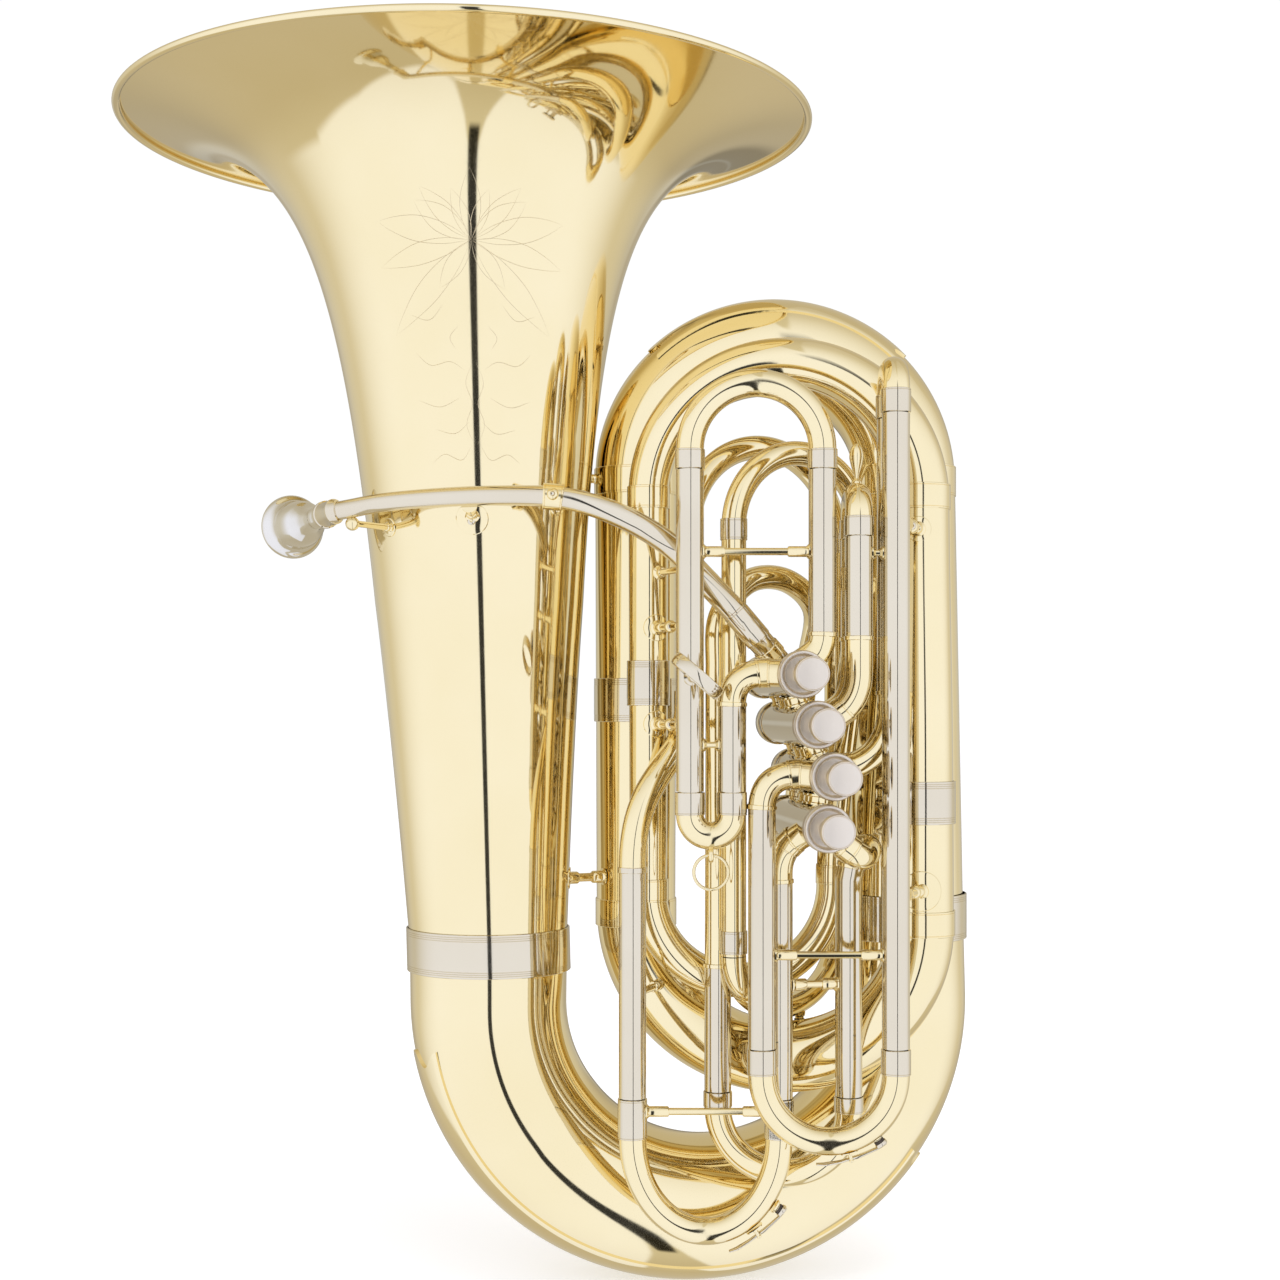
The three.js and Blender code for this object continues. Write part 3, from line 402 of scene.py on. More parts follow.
def strip(points, widths, thicks, side):
    """A flat bar along points, with oval ends of the given widths (along `side`) and thicknesses."""
    route = Route(np.array(points))
    runs = np.linspace(0, route.length, 4 * len(points))
    marks = np.linspace(0, route.length, len(widths))
    shape_x, shape_y = (np.sign(v) * np.abs(v) ** 0.6 for v in (np.cos(circle(20)), np.sin(circle(20))))
    rings = []
    for s in runs:
        point, tangent, _, _ = (v[0] for v in route.frame([s]))
        across = unit(side - tangent * np.dot(side, tangent))
        other = np.cross(tangent, across)
        wide, thick = np.interp(s, marks, widths), np.interp(s, marks, thicks)
        rings.append(point + shape_x[:, None] * across * wide + shape_y[:, None] * other * thick)
    return stitch(with_ends(rings), loop=False)


# --- pieces

scene = bpy.context.scene


def add(name, data):
    """A new object in the scene."""
    thing = bpy.data.objects.new(name, data)
    scene.collection.objects.link(thing)
    return thing


def piece(name, body, slot, nodes, *shapes, finish=None, sharp=32):
    """One object made of closed shapes that rides on a body and stands for CAD nodes."""
    points, faces = [], []
    for shape_points, shape_faces in shapes:
        start = len(points)
        points.extend(shape_points * MM + ORIGIN)
        faces.extend([tuple(start + i for i in face) for face in shape_faces])
    mesh = bpy.data.meshes.new(name)
    mesh.from_pydata([tuple(p) for p in points], [], faces)
    work = bmesh.new()
    work.from_mesh(mesh)
    bmesh.ops.remove_doubles(work, verts=work.verts, dist=2e-7)
    bmesh.ops.recalc_face_normals(work, faces=work.faces)
    work.to_mesh(mesh)
    work.free()
    mesh.shade_smooth()
    mesh.set_sharp_from_angle(angle=math.radians(sharp))
    mesh.materials.append(MATERIALS[finish or slot])
    thing = add(name, mesh)
    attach(thing, body)
    if nodes:
        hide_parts(*nodes)


def fixed(name, slot, nodes, *shapes, **kind):
    """A piece that rides on the frame."""
    piece(name, "frame", slot, nodes, *shapes, **kind)


def brace(a, b, rod=2.5, socket=12.0, boss=3.7):
    """A brace rod with a socket and a small foot at each end."""
    length = np.linalg.norm(b - a)
    half = [(boss + 1.5, 0), (boss + 1.5, 1.0), (boss + 0.4, 2.0), (boss, 2.6), (boss, socket - 0.8),
            (boss - 0.5, socket), (rod, socket + 0.2)]
    far = [(r, length - run) for r, run in reversed(half)]
    return turned(a, b - a, [(0, 0), *half, *far, (0, length)], 28)


def level_brace(a, b, z, radius=SLEEVE, **kind):
    """A brace between the tubes of two columns, each of the given radius."""
    a, b = at(*a, z), at(*b, z)
    inset = unit(b - a) * (radius - 0.9)
    return brace(a + inset, b - inset, **kind)


def vertical(column, z0, z1):
    return Route(leg(column, z0, z1))


# --- bell

STATIONS = np.linspace(0, 1, 120)
BELL_Z = BELL_END_Z + GAP + (RIM_Z - 0.9 - BELL_END_Z) * (1 - (1 - STATIONS) ** 2.4)


def on_bell(radius, z, sides=200):
    """Rings about the leaning bell axis."""
    radius, z, turn = np.asarray(radius, float), np.asarray(z, float), circle(sides)
    return np.stack([
        bell_axis_x(z)[:, None] + radius[:, None] * np.cos(turn),
        radius[:, None] * np.sin(turn),
        np.broadcast_to(z[:, None], (len(z), sides)),
    ], axis=-1)


def bell_shell():
    z = BELL_Z[bell_radius(BELL_Z) < RIM_RADIUS - 3.6]
    radius = bell_radius(z)
    lean = np.arctan(bell_radius(z + 0.5) - bell_radius(z - 0.5))
    inner_z = np.minimum(z + WALL * np.sin(lean), RIM_Z - 0.5)
    inner = on_bell((radius - WALL * np.cos(lean))[::-1], inner_z[::-1])
    return stitch(np.concatenate([on_bell(radius, z), inner]))


def bell_bead():
    turn = circle(20)
    return stitch(on_bell(RIM_RADIUS - 2.9 + 2.9 * np.cos(turn), RIM_Z - 2.5 + 2.5 * np.sin(turn)))


def bell_band():
    low, high = BELL_END_Z - 15, BELL_END_Z + 16
    radius = float(bell_radius(high)) + 0.5
    outline = band(high - low, 1.1, (1.8, 3.2, 4.6, 26.4, 27.8, 29.2))
    z = np.array([low + run for run, _ in outline])
    return stitch(on_bell([radius + height for _, height in outline], z))


fixed("bell_shell", BRASS, ["bell"], bell_shell(), sharp=60)
fixed("bell_rim_bead", BRASS, ["bell_rim"], bell_bead())
fixed("bell_joint_band", NICKEL, ["bell_ferrule"], bell_band())

# --- large tubing

BOW_RADII = [57.2, 55.5, 51.5, 47.0, 43.3]
TOP_RADII = [37.2, 36.4, 35.0, 32.5, 30.4]
bottom = Route(
    leg(BELL_FOOT, BELL_END_Z, 203.5),
    bend(at(*BELL_FOOT, 203.5), at(*RIGHT_BACK, 203.5), DOWN * 154, 96),
    leg(RIGHT_BACK, 203.5, 261.7),
)
top = Route(bend(at(*RIGHT_BACK, 583.4), at(*LEFT_BACK, 583.4), UP * 99, 80))
second_bottom = Route(bend(at(*LEFT_BACK, 263.6), at(*RIGHT_LOW, 263.6), DOWN * 101, 72))
second_top = Route(bend(at(*RIGHT_HIGH, 565.4), at(*LEFT_FRONT, 565.4), UP * 96.5, 72))
right_front = Route(
    leg(RIGHT_LOW, 264, 372),
    cubic(at(*RIGHT_LOW, 372), at(*RIGHT_LOW, 436.3), at(*RIGHT_HIGH, 500.7), at(*RIGHT_HIGH, 565)),
)


def guard(route, radii, s0, s1, reach, scallop):
    """Protective sheet over the outside of a bow, its two ends cut to a shallow wave."""
    turn = np.linspace(-reach, reach, 41)
    wave = scallop * (0.5 + 0.5 * np.cos(np.linspace(-3 * math.pi, 3 * math.pi, 41)))
    shares = np.linspace(0, 1, 110)
    grids = []
    for lift in (1.6, -0.15):
        rows = []
        for angle, notch in zip(turn, wave):
            s = (s0 + notch) + (s1 - s0 - 2 * notch) * shares
            point, _, across, other = route.frame(s)
            out = math.cos(angle - math.pi / 2) * across + math.sin(angle - math.pi / 2) * other
            edge = 0.5 if lift > 1 and abs(angle) > reach * 0.985 else 0.0
            rows.append(point + out * (taper(route, radii, s) + lift - edge)[:, None])
        grids.append(np.array(rows))
    rings = np.concatenate([grids[0], grids[1][::-1]]).transpose(1, 0, 2)
    points, faces = stitch(rings, loop=False)
    count = rings.shape[1]
    last = len(points) - count
    half = count // 2
    for base in (0, last):
        for j in range(half - 1):
            faces.append((base + j, base + j + 1, base + count - 2 - j, base + count - 1 - j))
    return points, faces


for name, node, route, radii, sides in [
    ("bottom_bow_tube", "bottom_bow", bottom, BOW_RADII, 96),
    ("right_back_tube", "right_back_branch", vertical(RIGHT_BACK, 262, 583), [43.3, 37.3], 80),
    ("outer_top_bow_tube", "outer_top_bow", top, TOP_RADII, 80),
    ("left_back_tube", "left_back_branch", vertical(LEFT_BACK, 264, 583), [29.3, 30.3], 64),
    ("second_bottom_bow_tube", "second_bottom_bow", second_bottom, [29.2, 26, 22.6], 64),
    ("right_front_tube", "right_front_branch", right_front, [22.5, 21], 56),
    ("second_top_bow_tube", "second_top_bow", second_top, [20.9, 17, 14.3], 56),
    ("left_front_tube", "left_front_branch", vertical(LEFT_FRONT, 286.4, 565), [13.4, 14.2], 44),
]:
    fixed(name, BRASS, [node], tube(route, radii, wall=WALL, sides=sides))
fixed("bottom_bow_plate", BRASS, ["bottom_bow_guard"], guard(bottom, BOW_RADII, 62, 425, math.radians(50), 9))
fixed("outer_top_plate", BRASS, ["outer_top_guard"], guard(top, TOP_RADII, 74, 232, math.radians(48), 7))

TRIPLE = (1.8, 3.2, 4.6)


def big_band(name, node, column, low, high, radius, sides=72):
    length = high - low
    lines = [*TRIPLE, *[length - run for run in reversed(TRIPLE)]]
    shape = collar(vertical(column, low, high), 0, radius, band(length, 1.0, lines), sides)
    fixed(name, NICKEL, [node], shape)


big_band("bow_end_band", "bottom_bow_ferrule", RIGHT_BACK, 245, 278, 44.9, 80)
big_band("left_back_band", "left_back_ferrule", LEFT_BACK, 405, 437, 30.3)
big_band("right_front_band", "right_front_ferrule", RIGHT_LOW, 334, 364, 22.8)
big_band("left_front_band", "left_front_ferrule", LEFT_FRONT, 417, 449, 14.4)


fixed("shell_joint_bands", BRASS, [], *[
    collar(vertical(column, z, z + length), 0, radius, band(length, 0.7, (1.4, length - 1.4)), sides)
    for column, z, radius, length, sides in [
        (RIGHT_BACK, 572, 37.4, 22, 72), (LEFT_BACK, 573, 30.5, 20, 64), (LEFT_BACK, 254, 29.5, 20, 64),
        (RIGHT_LOW, 255, 22.8, 18, 56), (RIGHT_HIGH, 556, 21.2, 18, 56), (LEFT_FRONT, 557, 14.5, 16, 56),
        (LEFT_FRONT, 278, 13.7, 16, 56),
    ]
])

# --- valves

AXIS = at(-math.sin(VALVE_TURN), math.cos(VALVE_TURN), 0)
ACROSS = at(math.cos(VALVE_TURN), math.sin(VALVE_TURN), 0)
TOP_ROW, MIDDLE_ROW, LOW_ROW, CROSS_ROW = 24, 54, 86, 70


def port(n, depth, turn, reach=CASING - 0.6):
    """A point by valve n: `depth` behind its front, `turn` degrees round it and `reach` from its axis."""
    x, z = VALVE_FRONTS[n - 1]
    angle = math.radians(turn)
    out = ACROSS * reach * math.cos(angle) + UP * reach * math.sin(angle)
    return at(x, VALVE_FRONT_Y, z) + AXIS * depth + out


def turn_towards(a, b):
    """The turn, in degrees, from one valve to another."""
    (xa, za), (xb, zb) = VALVE_FRONTS[a - 1], VALVE_FRONTS[b - 1]
    return math.degrees(math.atan2(zb - za, (xb - xa) * math.cos(VALVE_TURN)))


def knurl(origin, direction, radius, start, stop, teeth=72, depth=0.25):
    """A band of fine straight knurling round a cap."""
    x, y, z = basis(direction)
    out = around(x, y, circle(teeth * 2))
    crests = (radius + depth * (np.arange(teeth * 2) % 2))[:, None]
    return stitch(np.array([
        origin + z * run + out * reach for run, reach in [
            (start, radius - 1), (start, radius), (start + 0.5, crests), (stop - 0.5, crests),
            (stop, radius), (stop, radius - 1)]
    ]))


CASING_SHAPE = [(13.1, 12.6), (14.4, 12.6), (14.4, 13.4), (CASING, 13.6), (CASING, 16), (CASING + 0.3, 16.4),
                (CASING + 0.3, 18), (CASING, 18.4), (CASING, 136), (CASING + 0.3, 136.4), (CASING + 0.3, 138),
                (CASING, 138.4), (CASING, 150.6), (13.1, 150.6)]
TOP_CAP = [(4.4, 6.2), (5.6, 5.2), (7.2, 4.9), (12.2, 4.6), (13.2, 1.0), (13.9, 0.15), (14.6, 0),
           (15.4, 0.15), (16.0, 0.8), (16.2, 1.8), (16.2, 3.6), (15.7, 4.0), (15.7, 4.6), (16.2, 5.0),
           (16.2, 11.4), (15.8, 12.4), (14.9, 12.6), (14.9, 8.4), (4.4, 8.4)]
BUTTON = [(0, -30.5), (9.6, -30.45), (10.3, -30.25), (10.6, -29.9), (10.75, -30.1), (11.2, -29.9),
          (11.6, -29.2), (11.6, -23.2), (11.2, -22.4), (10.2, -22), (6.0, -21.6), (4.2, -20.4), (3.2, -18),
          (3.2, 16), (0, 16)]
BOTTOM_CAP = [(0, 151), (14.9, 151), (14.9, 143), (15.8, 143), (16, 143.4), (16, 153.6), (15.4, 154.6),
              (14.2, 155), (9, 155), (8.4, 154.4), (4, 154.2), (3.4, 155), (0, 155)]
FELT = [(3.3, -21.5), (7.6, -21.3), (8, -20.9), (8, -19.4), (7.6, -19), (3.3, -18.9)]
BARREL = [(0, 16), (11.8, 16), (12.5, 16.7), (12.5, 126), (10.9, 126), (10.9, 97), (0, 97)]

for n in range(1, 5):
    nose = port(n, 0, 0, 0)
    fixed(f"valve_{n}_casing", NICKEL, [f"valve_casing_{n}"], turned(nose, AXIS, CASING_SHAPE, 72))
    if n < 4:
        turn = turn_towards(n, n + 1)
        far = np.linalg.norm(port(n + 1, CROSS_ROW, 0, 0) - port(n, CROSS_ROW, 0, 0))
        start = port(n, CROSS_ROW, turn)
        way = port(n, CROSS_ROW, turn, 10) - port(n, CROSS_ROW, turn, 0)
        length = far - 2 * CASING + 1.2
        knuckle = [(7.0, 0), (10.4, 0), (10.4, 1.2), (9.2, 1.8), (9.2, length - 1.8), (10.4, length - 1.2),
                   (10.4, length), (7.0, length)]
        knuckles = [turned(start + AXIS * shift, way, knuckle, 40) for shift in (0, -20.5)]
        bridge = port(n, 128, turn, CASING - 0.4)
        strap = turned(bridge, way, [(0, 0), (4.4, 0), (4.4, 1.2), (3.0, 2), (3.0, length - 2.4),
                                     (4.4, length - 1.6), (4.4, length - 0.4), (0, length - 0.4)], 28)
        fixed(f"valve_{n}_knuckles", BRASS, [], *knuckles, strap)
    fixed(f"valve_{n}_top_cap", NICKEL, [f"top_cap_{n}"],
          turned(nose, AXIS, TOP_CAP, 96), knurl(nose, AXIS, 16.15, 6.0, 10.6), finish="satin")
    fixed(f"valve_{n}_bottom_cap", NICKEL, [f"bottom_cap_{n}"],
          turned(nose, AXIS, BOTTOM_CAP, 96), knurl(nose, AXIS, 15.95, 145, 151.5))
    piece(f"valve_{n}_felt", f"valve_{n}", NICKEL, [],
          turned(nose, AXIS, FELT, 48), finish="felt")
    piece(f"valve_{n}_stem_and_button", f"valve_{n}", NICKEL, [],
          turned(nose, AXIS, BUTTON, 72), finish="satin")
    piece(f"valve_{n}_piston", f"valve_{n}", NICKEL, [f"piston_{n}"], turned(nose, AXIS, BARREL, 64))
    turns = np.linspace(0, 2 * math.pi * 7, 240)
    runs = np.interp(turns, [0, turns[-1]], [99.5, 123.5])[:, None]
    coil = Route(nose + AXIS * runs + 8.9 * around(*basis(AXIS)[:2], turns))
    piece(f"valve_{n}_spring", f"valve_{n}", STEEL, [f"spring_{n}"],
          stitch(with_ends(coil.rings(coil.stations(), 0.8, 8)), loop=False))

# --- small tubing of the main bore

RISER_FOOT, RISER_HEAD = at(140, 0, 286.1), at(160, -14, 542)
riser = Route(
    bend(at(*LEFT_FRONT, 286.1), RISER_FOOT, DOWN * 67, 56),
    cubic(RISER_FOOT, RISER_FOOT + UP * 90, RISER_HEAD + DOWN * 90, RISER_HEAD, 44),
)
fourth_arch = Route(
    bend(RISER_HEAD + UP * GAP, at(*ARCH_LEG, 542), UP * 54, 56),
    leg(ARCH_LEG, 542, 242.3),
)
fifth = Route(
    bend(at(*ARCH_LEG, 242), at(*FIFTH_REAR, 242), DOWN * 44, 56),
    leg(FIFTH_REAR, 242, 540),
    bend(at(*FIFTH_REAR, 540), at(*FIFTH_LEFT, 540), UP * 66, 60),
    leg(FIFTH_LEFT, 540, 420),
)
feed = Route(
    cubic(at(*FIFTH_LEFT, 419.7), at(*FIFTH_LEFT, 372), at(-6, -74, 375), at(*MAIN_LEFT, 303)),
    leg(MAIN_LEFT, 303, 145.6),
)


def small_band(route, s, radius=SLEEVE, length=14.0, grooves=2):
    lines = (1.5, length - 1.5) if grooves == 2 else ()
    return collar(route, s - length / 2, radius, band(length, 0.8, lines), 40)


def seam(route, s):
    """The raised edge where a sleeve meets its brass elbow."""
    return small_band(route, s, SLEEVE, 3, 0)


def sleeve(route, s):
    """The outer tube of a slide, up to its seam."""
    return tube(route, SLEEVE, 0, s - 0.1)


def elbow(route, s, n):
    """The brass tube from a sleeve's seam to valve n."""
    return tube(route, SLEEVE, s + 0.1, valve=n), seam(route, s)


fixed("third_bow_tube", BRASS, ["third_bottom_bow"], tube(riser, [13.4, 12.2, 11, 10.2, 9.4], sides=44))
fixed("fourth_arch_tube", BRASS, ["fourth_top_arch"], tube(fourth_arch, SMALL_BRASS))
fixed("fifth_bow_tube", BRASS, ["fifth_bow"], tube(fifth, SMALL_BRASS))
fixed("long_leg_bands", NICKEL, [], *[
    small_band(vertical(column, z, z + 20), 10, SMALL_BRASS, length) for column, z, length in [
        (ARCH_LEG, 530, 15), (ARCH_LEG, 242, 16), (FIFTH_REAR, 530, 15), (FIFTH_REAR, 242, 15)]
])
fixed("riser_bands", BRASS, [],
      small_band(riser, riser.length - 9, 9.4, 14), small_band(riser, riser.run[55] + 8, 11.0, 14),
      small_band(vertical(FIFTH_LEFT, 410, 432), 10, SLEEVE - 0.4, 15))
fixed("main_feed_tube", BRASS, [], tube(feed, SLEEVE, 0, feed.at_height(303.5)))
fixed("main_left_sleeve_tube", NICKEL, ["main_left_sleeve"],
      tube(feed, SLEEVE, feed.at_height(303.3)), small_band(feed, feed.at_height(303.3), SLEEVE, 4, 0))


# --- slide crooks


def crook(name, body, node, a, b, mouth, start, rise, inside):
    """The bow of a pull-out slide with its two ferrules and the inner legs that run up the sleeves."""
    out = math.copysign(1, rise[2])
    lip = mouth + out * GAP
    route = Route(leg(a, lip, start), bend(at(*a, start), at(*b, start), rise, 56), leg(b, start, lip))
    length = abs(start - mouth) - GAP
    lines = (1.2, length - 1.2) if length > 18 else (length - 1.2,)
    piece(f"{name}_bow", body, BRASS, [node], tube(route, SLEEVE))
    legs = [tube(vertical(column, mouth - out * inside, mouth + out * 3), INNER_SLIDE, wall=0.9)
            for column in (a, b)]
    far_lines = [length - run for run in lines]
    ends = [collar(route, 0, SLEEVE, band(length, 0.75, lines), 40),
            collar(route, route.length - length, SLEEVE, band(length, 0.75, far_lines), 40)]
    piece(f"{name}_legs_and_ferrules", body, NICKEL, [], *legs, *ends)


crook("main_slide", "main_slide", "main_slide_crook", MAIN_LEFT, MAIN_RIGHT,
      145.3, 117.6, DOWN * 64.4, 90)
piece("main_slide_brace", "main_slide", BRASS, [],
      level_brace(MAIN_LEFT, MAIN_RIGHT, 136, SLEEVE + 0.5, socket=16.0))

# --- first valve circuit

left_1 = vertical(FIRST_LEFT, 358.8, 577.6)
elbow_1 = Route(
    leg(FIRST_MIDDLE, 358.8, 418),
    corner(at(*FIRST_MIDDLE, 418), at(*FIRST_MIDDLE, 439.5), at(86, FRONT_Y, 439.5), 24),
    line(at(86, FRONT_Y, 439.5), port(1, TOP_ROW, 176)),
)
right_1 = Route(
    leg(FIRST_RIGHT, 577.6, 466),
    corner(at(*FIRST_RIGHT, 466), at(*FIRST_RIGHT, 454), port(1, TOP_ROW, 52), 18),
)
fixed("first_slide_sleeves", NICKEL, ["first_slide_frame"],
      tube(left_1, SLEEVE), sleeve(elbow_1, 59.3), sleeve(right_1, 111.9))
fixed("first_slide_elbows", BRASS, [],
      *elbow(elbow_1, 59.3, 1), *elbow(right_1, 111.9, 1),
      small_band(elbow_1, elbow_1.length - 9, SLEEVE, 10))
fixed("first_slide_braces", BRASS, [],
      level_brace(FIRST_LEFT, FIRST_RIGHT, 522, socket=15.0),
      level_brace(FIRST_LEFT, FIRST_MIDDLE, 390.4, socket=2.8, rod=2.2, boss=3.2))
crook("first_lower", "first_lower_slide", "first_lower_crook", FIRST_LEFT, FIRST_MIDDLE,
      358.5, 342.8, DOWN * 14.3, 48)
crook("first_upper", "first_upper_slide", "first_upper_crook", FIRST_LEFT, FIRST_RIGHT,
      577.9, 591.6, UP * 45.1, 60)
piece("pull_ring_staple", "first_lower_slide", BRASS, [],
      torus(at(48.3, FRONT_Y, 315.4), REAR, UP, 4.2, 1.0, 1.6, 40),
      turned(at(48.3, FRONT_Y, 320.8), DOWN, [(0, -2), (4.2, -2), (3.8, 0.4), (2.4, 1.4), (0, 1.6)], 28))
piece("pull_ring_wire", "ring", BRASS, ["pull_ring"],
      torus(at(48.3, FRONT_Y, 303.7), at(1, 0, 0), UP, 11.7, 1.1, 1.2))

RING_SIDE = unit(at(0.755, 0, -0.656))
fixed("thumb_ring_band", NICKEL, ["thumb_ring"],
      torus(at(38, -130.6, 437), RING_SIDE, REAR, 19, 1.3, 4.4, 96),
      turned(at(34.8, -107.4, 437), unit(at(0.5, -1, 0)),
             [(0, 0), (6.4, 0), (6.2, 0.8), (4.4, 1.6), (4, 4.6), (0, 5.2)], 32))

# --- second valve circuit


def second_sleeve(column, row):
    return Route(leg(column, 532, 440), corner(at(*column, 440), at(*column, 417), port(2, row, 20), 24))


second_front, second_rear = second_sleeve(SECOND_FRONT, TOP_ROW), second_sleeve(SECOND_REAR, MIDDLE_ROW)
fixed("second_slide_sleeves", NICKEL, ["second_slide_frame"],
      sleeve(second_front, 68.9), sleeve(second_rear, 68.9))
fixed("second_slide_elbows", BRASS, [],
      *elbow(second_front, 68.9, 2), *elbow(second_rear, 68.9, 2),
      small_band(second_front, second_front.length - 8, SLEEVE, 9),
      level_brace(SECOND_FRONT, SECOND_REAR, 480, socket=3.4, boss=3.4))
crook("second_slide", "second_slide", "second_crook", SECOND_FRONT, SECOND_REAR,
      532.3, 546, UP * 15, 50)
knob = soften([(0, 0), (3.4, 0.1), (3.6, 1.4), (1.7, 4), (1.8, 6), (4.0, 13), (5.0, 19), (4.2, 24), (2.2, 27),
               (0, 28)], 5)
piece("second_slide_knob", "second_slide", BRASS, [],
      turned(at(149, -83, 569.6), UP, knob, 40), sharp=60)

# --- third valve circuit

left_3 = Route(
    leg(THIRD_LEFT, 184, 346),
    corner(at(*THIRD_LEFT, 346), at(*THIRD_LEFT, 370.5), at(108, FRONT_Y, 370.5), 24),
    line(at(108, FRONT_Y, 370.5), port(3, TOP_ROW, 178)),
)
right_3 = vertical(THIRD_RIGHT, 184, 616)
rear_3 = Route(
    leg(THIRD_REAR, 616, 412),
    corner(at(*THIRD_REAR, 412), at(172.2, REAR_Y, 379), port(3, MIDDLE_ROW, 12), 26),
)
fixed("third_slide_sleeves", NICKEL, ["third_slide_frame"],
      sleeve(left_3, 164.1), tube(right_3, SLEEVE), sleeve(rear_3, 190.1))
fixed("third_slide_elbows", BRASS, [],
      *elbow(left_3, 164.1, 3), *elbow(rear_3, 190.1, 3),
      small_band(left_3, left_3.length - 9, SLEEVE, 10), small_band(rear_3, rear_3.length - 8, SLEEVE, 9))
fixed("third_slide_braces", BRASS, [],
      level_brace(THIRD_LEFT, THIRD_RIGHT, 247.5, socket=15.0),
      level_brace(THIRD_RIGHT, THIRD_REAR, 521, socket=3.4, boss=3.4),
      level_brace(SECOND_FRONT, THIRD_RIGHT, 521, socket=1.6, rod=2.2, boss=3.2))
crook("third_lower", "third_lower_slide", "third_lower_crook", THIRD_LEFT, THIRD_RIGHT,
      183.7, 166.2, DOWN * 45.6, 80)
crook("third_upper", "third_upper_slide", "third_upper_crook", THIRD_RIGHT, THIRD_REAR,
      616.3, 632.6, UP * 15, 60)

# --- fourth valve circuit

inner_right = Route(
    leg(MAIN_RIGHT, 145.6, 301),
    corner(at(*MAIN_RIGHT, 301), at(96.5, -75, 319), port(4, TOP_ROW + 18, 212), 20),
)
hook = Route(
    spline(port(4, TOP_ROW, -38), port(4, TOP_ROW, -38, 22), at(152, -92, 314),
           at(157, -80, 319), at(150, -67, 315), at(*FOURTH_RIGHT, 296), count=8),
    leg(FOURTH_RIGHT, 296, 145),
)
return_4 = Route(
    leg(FOURTH_LEFT, 145, 440),
    spline(at(*FOURTH_LEFT, 440), at(57, -43, 480), at(78, -28, 506), at(106, -6, 508), at(129, 20, 488),
           at(126, 48, 445), at(122, 55, 400), at(119, 55, 350), at(112, 44, 312), at(104, 22, 299),
           at(102, -4, 299), port(4, LOW_ROW, 232, 22), port(4, LOW_ROW, 232), count=8),
)
hook_end = hook.at_height(306, 30)
fixed("fourth_valve_sleeve_tubes", NICKEL, ["fourth_valve_sleeves"],
      sleeve(inner_right, 150.1), tube(hook, SLEEVE, hook_end))
fixed("fourth_valve_elbows", BRASS, [],
      *elbow(inner_right, 150.1, 4), tube(hook, SLEEVE, 0, hook_end - 0.2, valve=4, first=True),
      seam(hook, hook_end),
      small_band(hook, 9, SLEEVE, 9), small_band(inner_right, inner_right.length - 8, SLEEVE, 9),
      level_brace(MAIN_RIGHT, FOURTH_RIGHT, 223.5, socket=11.0, boss=4.2))
fixed("fourth_left_sleeve_tube", NICKEL, ["fourth_left_pipe"], tube(return_4, SLEEVE, 0, 88.4))
fixed("fourth_return_tube", BRASS, [],
      tube(return_4, [SLEEVE, SMALL_BRASS, SMALL_BRASS, SMALL_BRASS], 88.6, valve=4), seam(return_4, 88.5),
      small_band(return_4, return_4.length - 9, SMALL_BRASS, 9))
crook("fourth_slide", "fourth_slide", "fourth_crook", FOURTH_LEFT, FOURTH_RIGHT,
      144.7, 133.6, DOWN * 44.6, 80)

# --- leadpipe and mouthpiece

RECEIVER = at(-218, -75, 549)
INTO = unit(at(0.45, -0.89, 0.03))
lead = Route(
    line(RECEIVER, RECEIVER + INTO * 22),
    spline(RECEIVER + INTO * 22, at(-196, -98, 551.5), at(-177, -99, 555), at(-142, -100, 558.3),
           at(-95, -100, 560), at(-54, -99, 558.6), at(-27, -96, 552), at(0, -88.5, 540.5),
           at(24.7, -79.5, 524.6), at(44.8, -79.5, 503.8), at(65.5, -82, 481.7), at(80, -78, 465),
           port(1, MIDDLE_ROW, 128), count=9),
)
LEAD_RADII = [6.4, 6.4, 6.9, 8.2, 8.8, 8.8]
RECEIVER_SHAPE = [(0, 0), (0, 2.6), (0.5, 3.1), (3.6, 3.1), (4.2, 2.4), (5.2, 2.2), (19, 1.8), (20, 2.2),
                  (21.6, 2.2), (22.4, 1.4), (24.6, 1.2), (25.2, 0)]
sleeve_joint = lead.at_height(482, 200)
fixed("leadpipe_tube", NICKEL, ["leadpipe"], tube(lead, LEAD_RADII, 2, wall=1.3, sides=40, valve=1))
fixed("leadpipe_fittings", NICKEL, [],
      collar(lead, 0, 6.5, RECEIVER_SHAPE, 56),
      collar(lead, sleeve_joint, 8.7, band(26, 0.7, (1.5, 24.5)), 48))
fixed("leadpipe_end_band", BRASS, [], small_band(lead, lead.length - 8, 8.8, 9))

CUP = [(5.6, 0), (6.2, 0.2), (6.5, 19), (6.9, 24), (7.6, 27), (7.9, 30), (7.2, 33), (7.2, 40), (7.9, 44),
       (9.4, 50), (12.2, 56), (14.8, 61), (16.4, 68), (17.0, 76), (17.5, 81), (19.2, 85), (21.6, 87.6),
       (22.8, 90), (23, 92), (22.3, 94), (20.6, 95.2), (19.0, 95.2), (17.3, 94), (16.5, 90), (15.2, 82),
       (12.8, 70), (8.2, 59), (4.6, 54), (4.2, 44), (4.2, 12)]
piece("mouthpiece_cup", "mouthpiece", SILVER, ["mouthpiece"],
      turned(RECEIVER + INTO * 15, -INTO, soften(CUP), 96), sharp=50)

# --- stays, feet and screws between the tubes


def upright(column, radius):
    """The axis and radius of a plain upright tube, each a function of height."""
    return (lambda z: column), (lambda z: radius + 0 * np.asarray(z, float))


